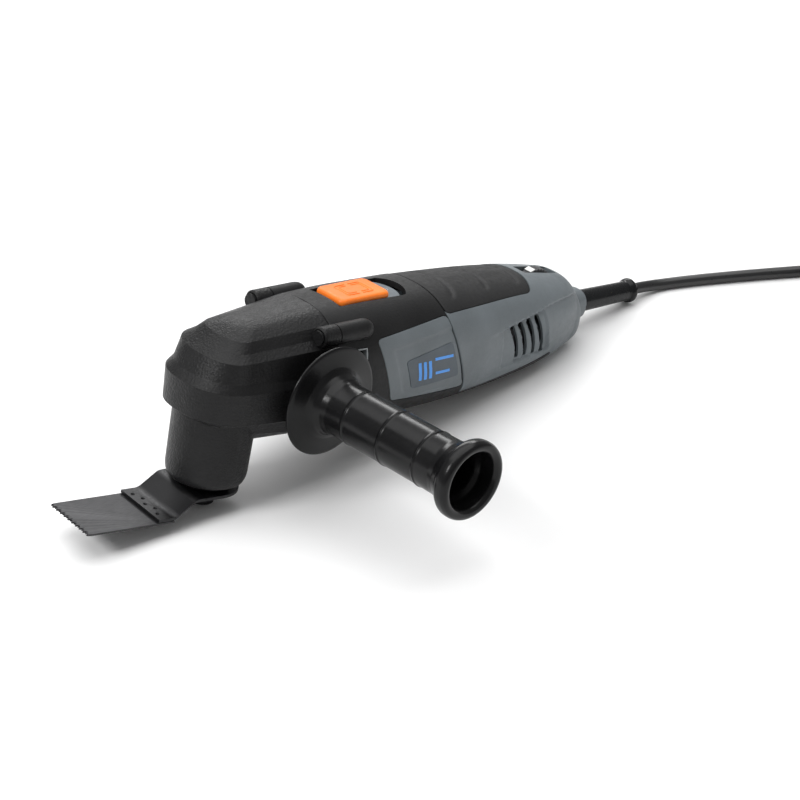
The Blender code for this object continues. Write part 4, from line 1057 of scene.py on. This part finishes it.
def dial_wheel():
    rings = []
    for y, radius in ((-3.2, 11.0), (-3.05, 11.4), (-2.6, 11.9), (-2.0, 12.0), (2.0, 12.0), (2.6, 11.9),
                      (3.05, 11.4), (3.2, 11.0)):
        ring = []
        for k in range(180):
            angle = 2 * math.pi * k / 180
            reach = radius - 0.45 * smooth_step(abs(math.sin(15 * angle)) * 1.4 - 0.2)
            ring.append((reach * math.sin(angle) + DIAL_X, y, reach * math.cos(angle) + DIAL_Z))
        rings.append(ring)
    wheel = working("wheel", skin(rings))
    cut(wheel, turned([(2.3, -9.0), (2.3, 9.0)], "Y", 32, (DIAL_Z, DIAL_X)))
    piece("dial_wheel", wheel, "dark_plastic", "dial", ["speed_dial"], smooth=30.0)
    white_stripes = []
    # One broad white stripe on top of the wheel, a little forward, and five small white ticks further round it.
    for k in range(6):
        angle = math.radians(-18.0 - 45.0 * k)
        half_y, half_x = (2.3, 1.5) if k == 0 else (1.0, 0.5)
        white_stripe = block((-half_x, -half_y, 11.2), (half_x, half_y, 12.12))
        bmesh.ops.transform(white_stripe, matrix=Matrix.Rotation(angle, 4, "Y"), verts=white_stripe.verts)
        bmesh.ops.translate(white_stripe, verts=white_stripe.verts, vec=(DIAL_X, 0.0, DIAL_Z))
        white_stripes.append(white_stripe)
    piece("dial_white_stripes", merged(*white_stripes), "dial_white", "dial")


switch_pieces()
dial_wheel()


# ---- side handle and relief
def handle_body():
    """Hollow side grip with a flange, three ridges and a flared end."""
    root, end = -34.1, -132.4
    flange = [(4.3, 2.3), (11.5, 2.3), (13.5, -0.6), (20.0, -0.9), (26.6, 0.1), (27.8, -0.2), (27.7, -1.4),
              (26.4, -1.9), (21.5, -2.8), (18.2, -3.7), (15.8, -5.3), (14.2, -8.2), (13.6, -11.5),
              (13.45, -16.0)]
    flare = [(14.1, 17.0), (14.7, 14.0), (16.2, 10.8), (18.4, 8.4), (19.6, 6.6), (19.85, 4.8), (19.8, 2.6),
             (19.0, 0.8), (17.4, 0.1), (15.6, 0.5), (14.4, 2.0), (13.8, 5.0), (13.4, 9.0), (11.6, 12.0),
             (11.2, 15.0)]
    bore = [(10.9, -26.0), (5.8, -23.0), (5.8, -15.0), (4.3, -15.0)]
    profile = [(r, root + y) for r, y in flange]
    for k in range(3):
        ridge, r = root - 23.0 - 24.0 * k, 13.6 + 0.15 * k
        profile += [(r, ridge + 1.3), (r + 0.15, ridge + 0.6), (r + 0.5, ridge), (r + 0.1, ridge - 0.5),
                    (r, ridge - 1.1)]
    profile += [(r, end + y) for r, y in flare] + [(r, root + y) for r, y in bore]
    body = working("handle", turned(rounded(profile, 0.7, 4), "Y", 128, HANDLE_AXIS, closed=True))
    piece("handle_body", body, "handle", "handle_grip", ["handle_grip"], smooth=40.0)
    lines = []
    for side in (1, -1):
        points = ((root - 12.0, 13.5), (root - 45.0, 13.68), (end + 18.0, 13.98))
        lines.append(wire([(HANDLE_X, y, side * reach) for y, reach in points], 0.16, 8))
    piece("handle_parting_line", merged(*lines), "handle", "handle_grip")


def relief_sleeve():
    profile = [(3.6, 236.5), (7.6, 236.5), (7.6, 238.0), (5.5, 238.5), (5.5, 254.0), (5.9, 255.0),
               (5.75, 264.0), (5.5, 278.0), (5.3, 290.2), (5.5, 291.6), (6.2, 292.6), (6.6, 293.8),
               (6.5, 295.0), (5.8, 296.0), (3.6, 296.0)]
    sleeve = turned(rounded(profile, 0.5, 4), "X", 64, REAR_AXIS, closed=True)
    piece("relief_sleeve", sleeve, "rubber", stands_for=["strain_relief"], smooth=40.0)


handle_body()
relief_sleeve()


# ---- blade and clamp
BLADE_TURN = TOOL @ Matrix.Rotation(math.radians(-8.0), 4, "Z")
BLADE_HALF = 17.0
TEETH = 10


def arbor_body():
    """Cranked plate with a round end, star holes and a row of pressed weld dimples."""
    upper, lower, thick = -49.6, -57.4, 1.5
    top = rounded([(-10.0, upper), (-15.0, upper), (-25.5, lower), (-35.0, lower)], 2.2, 6, False)
    under = rounded([(-35.0, lower - thick), (-26.2, lower - thick), (-15.8, upper - thick),
                     (-10.0, upper - thick)], 2.2, 6, False)
    rings = [[(x, y, z) for x, z in top + under] for y in (-BLADE_HALF, BLADE_HALF)]
    plate = working("arbor", skin(rings))
    end = [(-10.4, -BLADE_HALF), (0, -BLADE_HALF)] + arc((0, 0), BLADE_HALF, -90, 90, 60)[1:-1]
    end += [(0, BLADE_HALF), (-10.4, BLADE_HALF)]
    cut(plate, prism(end, upper - thick, upper), "UNION")
    holes = [turned([(4.6, -55.0), (4.6, -45.0)], steps=48)]
    for k in range(12):
        centre = on_circle((0, 0), 10.2, math.radians(30 * k))
        holes.append(turned([(1.3, -55.0), (1.3, -45.0)], steps=20, centre=centre))
    for k in range(5):
        centre = (-31.6 + (1.7 if k % 2 else -0.6), -11.0 + 5.5 * k)
        dimple = [(0.2, lower - 0.9), (0.8, lower - 0.35), (1.25, lower + 0.2), (1.3, lower + 2.0)]
        holes.append(turned(dimple, steps=20, centre=centre))
    cut(plate, merged(*holes))
    bevelled(plate, 0.22, 40.0, 2)
    piece("arbor_body", plate, "dark_steel", "spindle", ["arbor_plate"], BLADE_TURN)


def tooth_line():
    """Main teeth with a small second tip on each flank."""
    reach, pitch = 74.5, 2 * BLADE_HALF / TEETH
    points = []
    for k in range(TEETH):
        y = -BLADE_HALF + pitch * k
        for share, depth in ((0.0, 2.7), (0.17, 0.5), (0.30, 0.0), (0.40, 1.4), (0.55, 0.9), (0.68, 1.7),
                             (0.84, 0.45), (0.97, 2.3)):
            points.append((-reach + depth, y + share * pitch + 0.02))
    return points


def blade_sheet():
    outline = [(-26.0, BLADE_HALF), (-26.0, -BLADE_HALF)] + tooth_line()
    outline.append((-71.8, BLADE_HALF))
    sheet = bevelled(working("blade", prism(outline, -60.2, -59.2)), 0.12, 40.0, 2)
    piece("blade_sheet", sheet, "blade", "spindle", ["saw_blade"], BLADE_TURN, smooth=25.0)


def clamp_pieces():
    """Flange above the blade, and the washer and hexagon socket screw below it."""
    flange = [(3.3, -49.3), (12.4, -49.3), (13.2, -48.9), (13.2, -48.2), (11.4, -47.2), (3.3, -47.2)]
    ring = working("flange", turned(rounded(flange, 0.3, 3), closed=True, steps=96))
    piece("drive_flange", ring, "dark_steel", "spindle", ["tool_flange"])
    washer = [(3.4, -53.0), (8.2, -53.0), (8.8, -52.6), (8.8, -51.5), (3.4, -51.5)]
    piece("clamp_ring", turned(rounded(washer, 0.25, 3), closed=True, steps=72), "steel", "spindle",
          ["clamp_washer"])
    profile = [(0.05, -60.0), (5.4, -60.0), (6.2, -59.2), (6.2, -53.3), (2.9, -53.3), (2.9, -33.0)]
    screw = working("screw", turned(rounded(profile, 0.3, 3, False), steps=72))
    cut(screw, turned([(3.0, -63.0), (3.0, -56.0)], steps=6))
    piece("hex_screw", screw, "dark_steel", "spindle", ["clamp_screw"])


arbor_body()
blade_sheet()
clamp_pieces()


# ---- CAD nodes, each with the finish of its slot; those that a piece stands for don't show
for row in frame["record"]["subparts"]:
    node = frame["nodes"][row["node"]]
    node.data.materials.clear()
    node.data.materials.append(MATS[row["material_slot"]])


# ---- floor and light
def floor():
    bm = bmesh.new()
    bmesh.ops.create_grid(bm, x_segments=8, y_segments=8, size=6.0)
    ground = working("studio_floor", bm)
    mat, tree, shader, place = nodes_of("studio_paper")
    speck = noise(tree, place, 30.0, 3.0)
    tree.links.new(mixed(tree, speck, (0.90, 0.90, 0.90), (0.92, 0.92, 0.92)), shader.inputs["Base Color"])
    shader.inputs["Roughness"].default_value = 0.8
    shader.inputs["Specular IOR Level"].default_value = 0.1
    ground.data.materials.append(mat)


def area_light(name, place, aim, size, power, tall=None):
    data = bpy.data.lights.new(name, "AREA")
    data.shape = "RECTANGLE"
    data.size = size
    data.size_y = tall or size
    data.energy = power
    lamp = placed(name, data)
    lamp.location = place
    lamp.rotation_euler = (Vector(aim) - Vector(place)).to_track_quat("-Z", "Y").to_euler()


def studio():
    world = bpy.data.worlds.new("studio")
    world.use_nodes = True
    world.node_tree.nodes["Background"].inputs["Color"].default_value = (1.0, 1.0, 1.0, 1.0)
    world.node_tree.nodes["Background"].inputs["Strength"].default_value = 0.36
    bpy.context.scene.world = world
    area_light("overhead", (0.1, 0.3, 1.7), (0.0, 0.0, 0.03), 2.4, 30.0, 1.8)
    area_light("left_key", (-1.1, 0.25, 0.95), (-0.08, 0.04, 0.05), 0.5, 9.0, 0.35)
    area_light("back_strip", (0.75, 1.05, 0.75), (-0.02, 0.0, 0.05), 1.0, 7.0, 0.25)
    bpy.context.scene.view_settings.view_transform = "Standard"


floor()
studio()
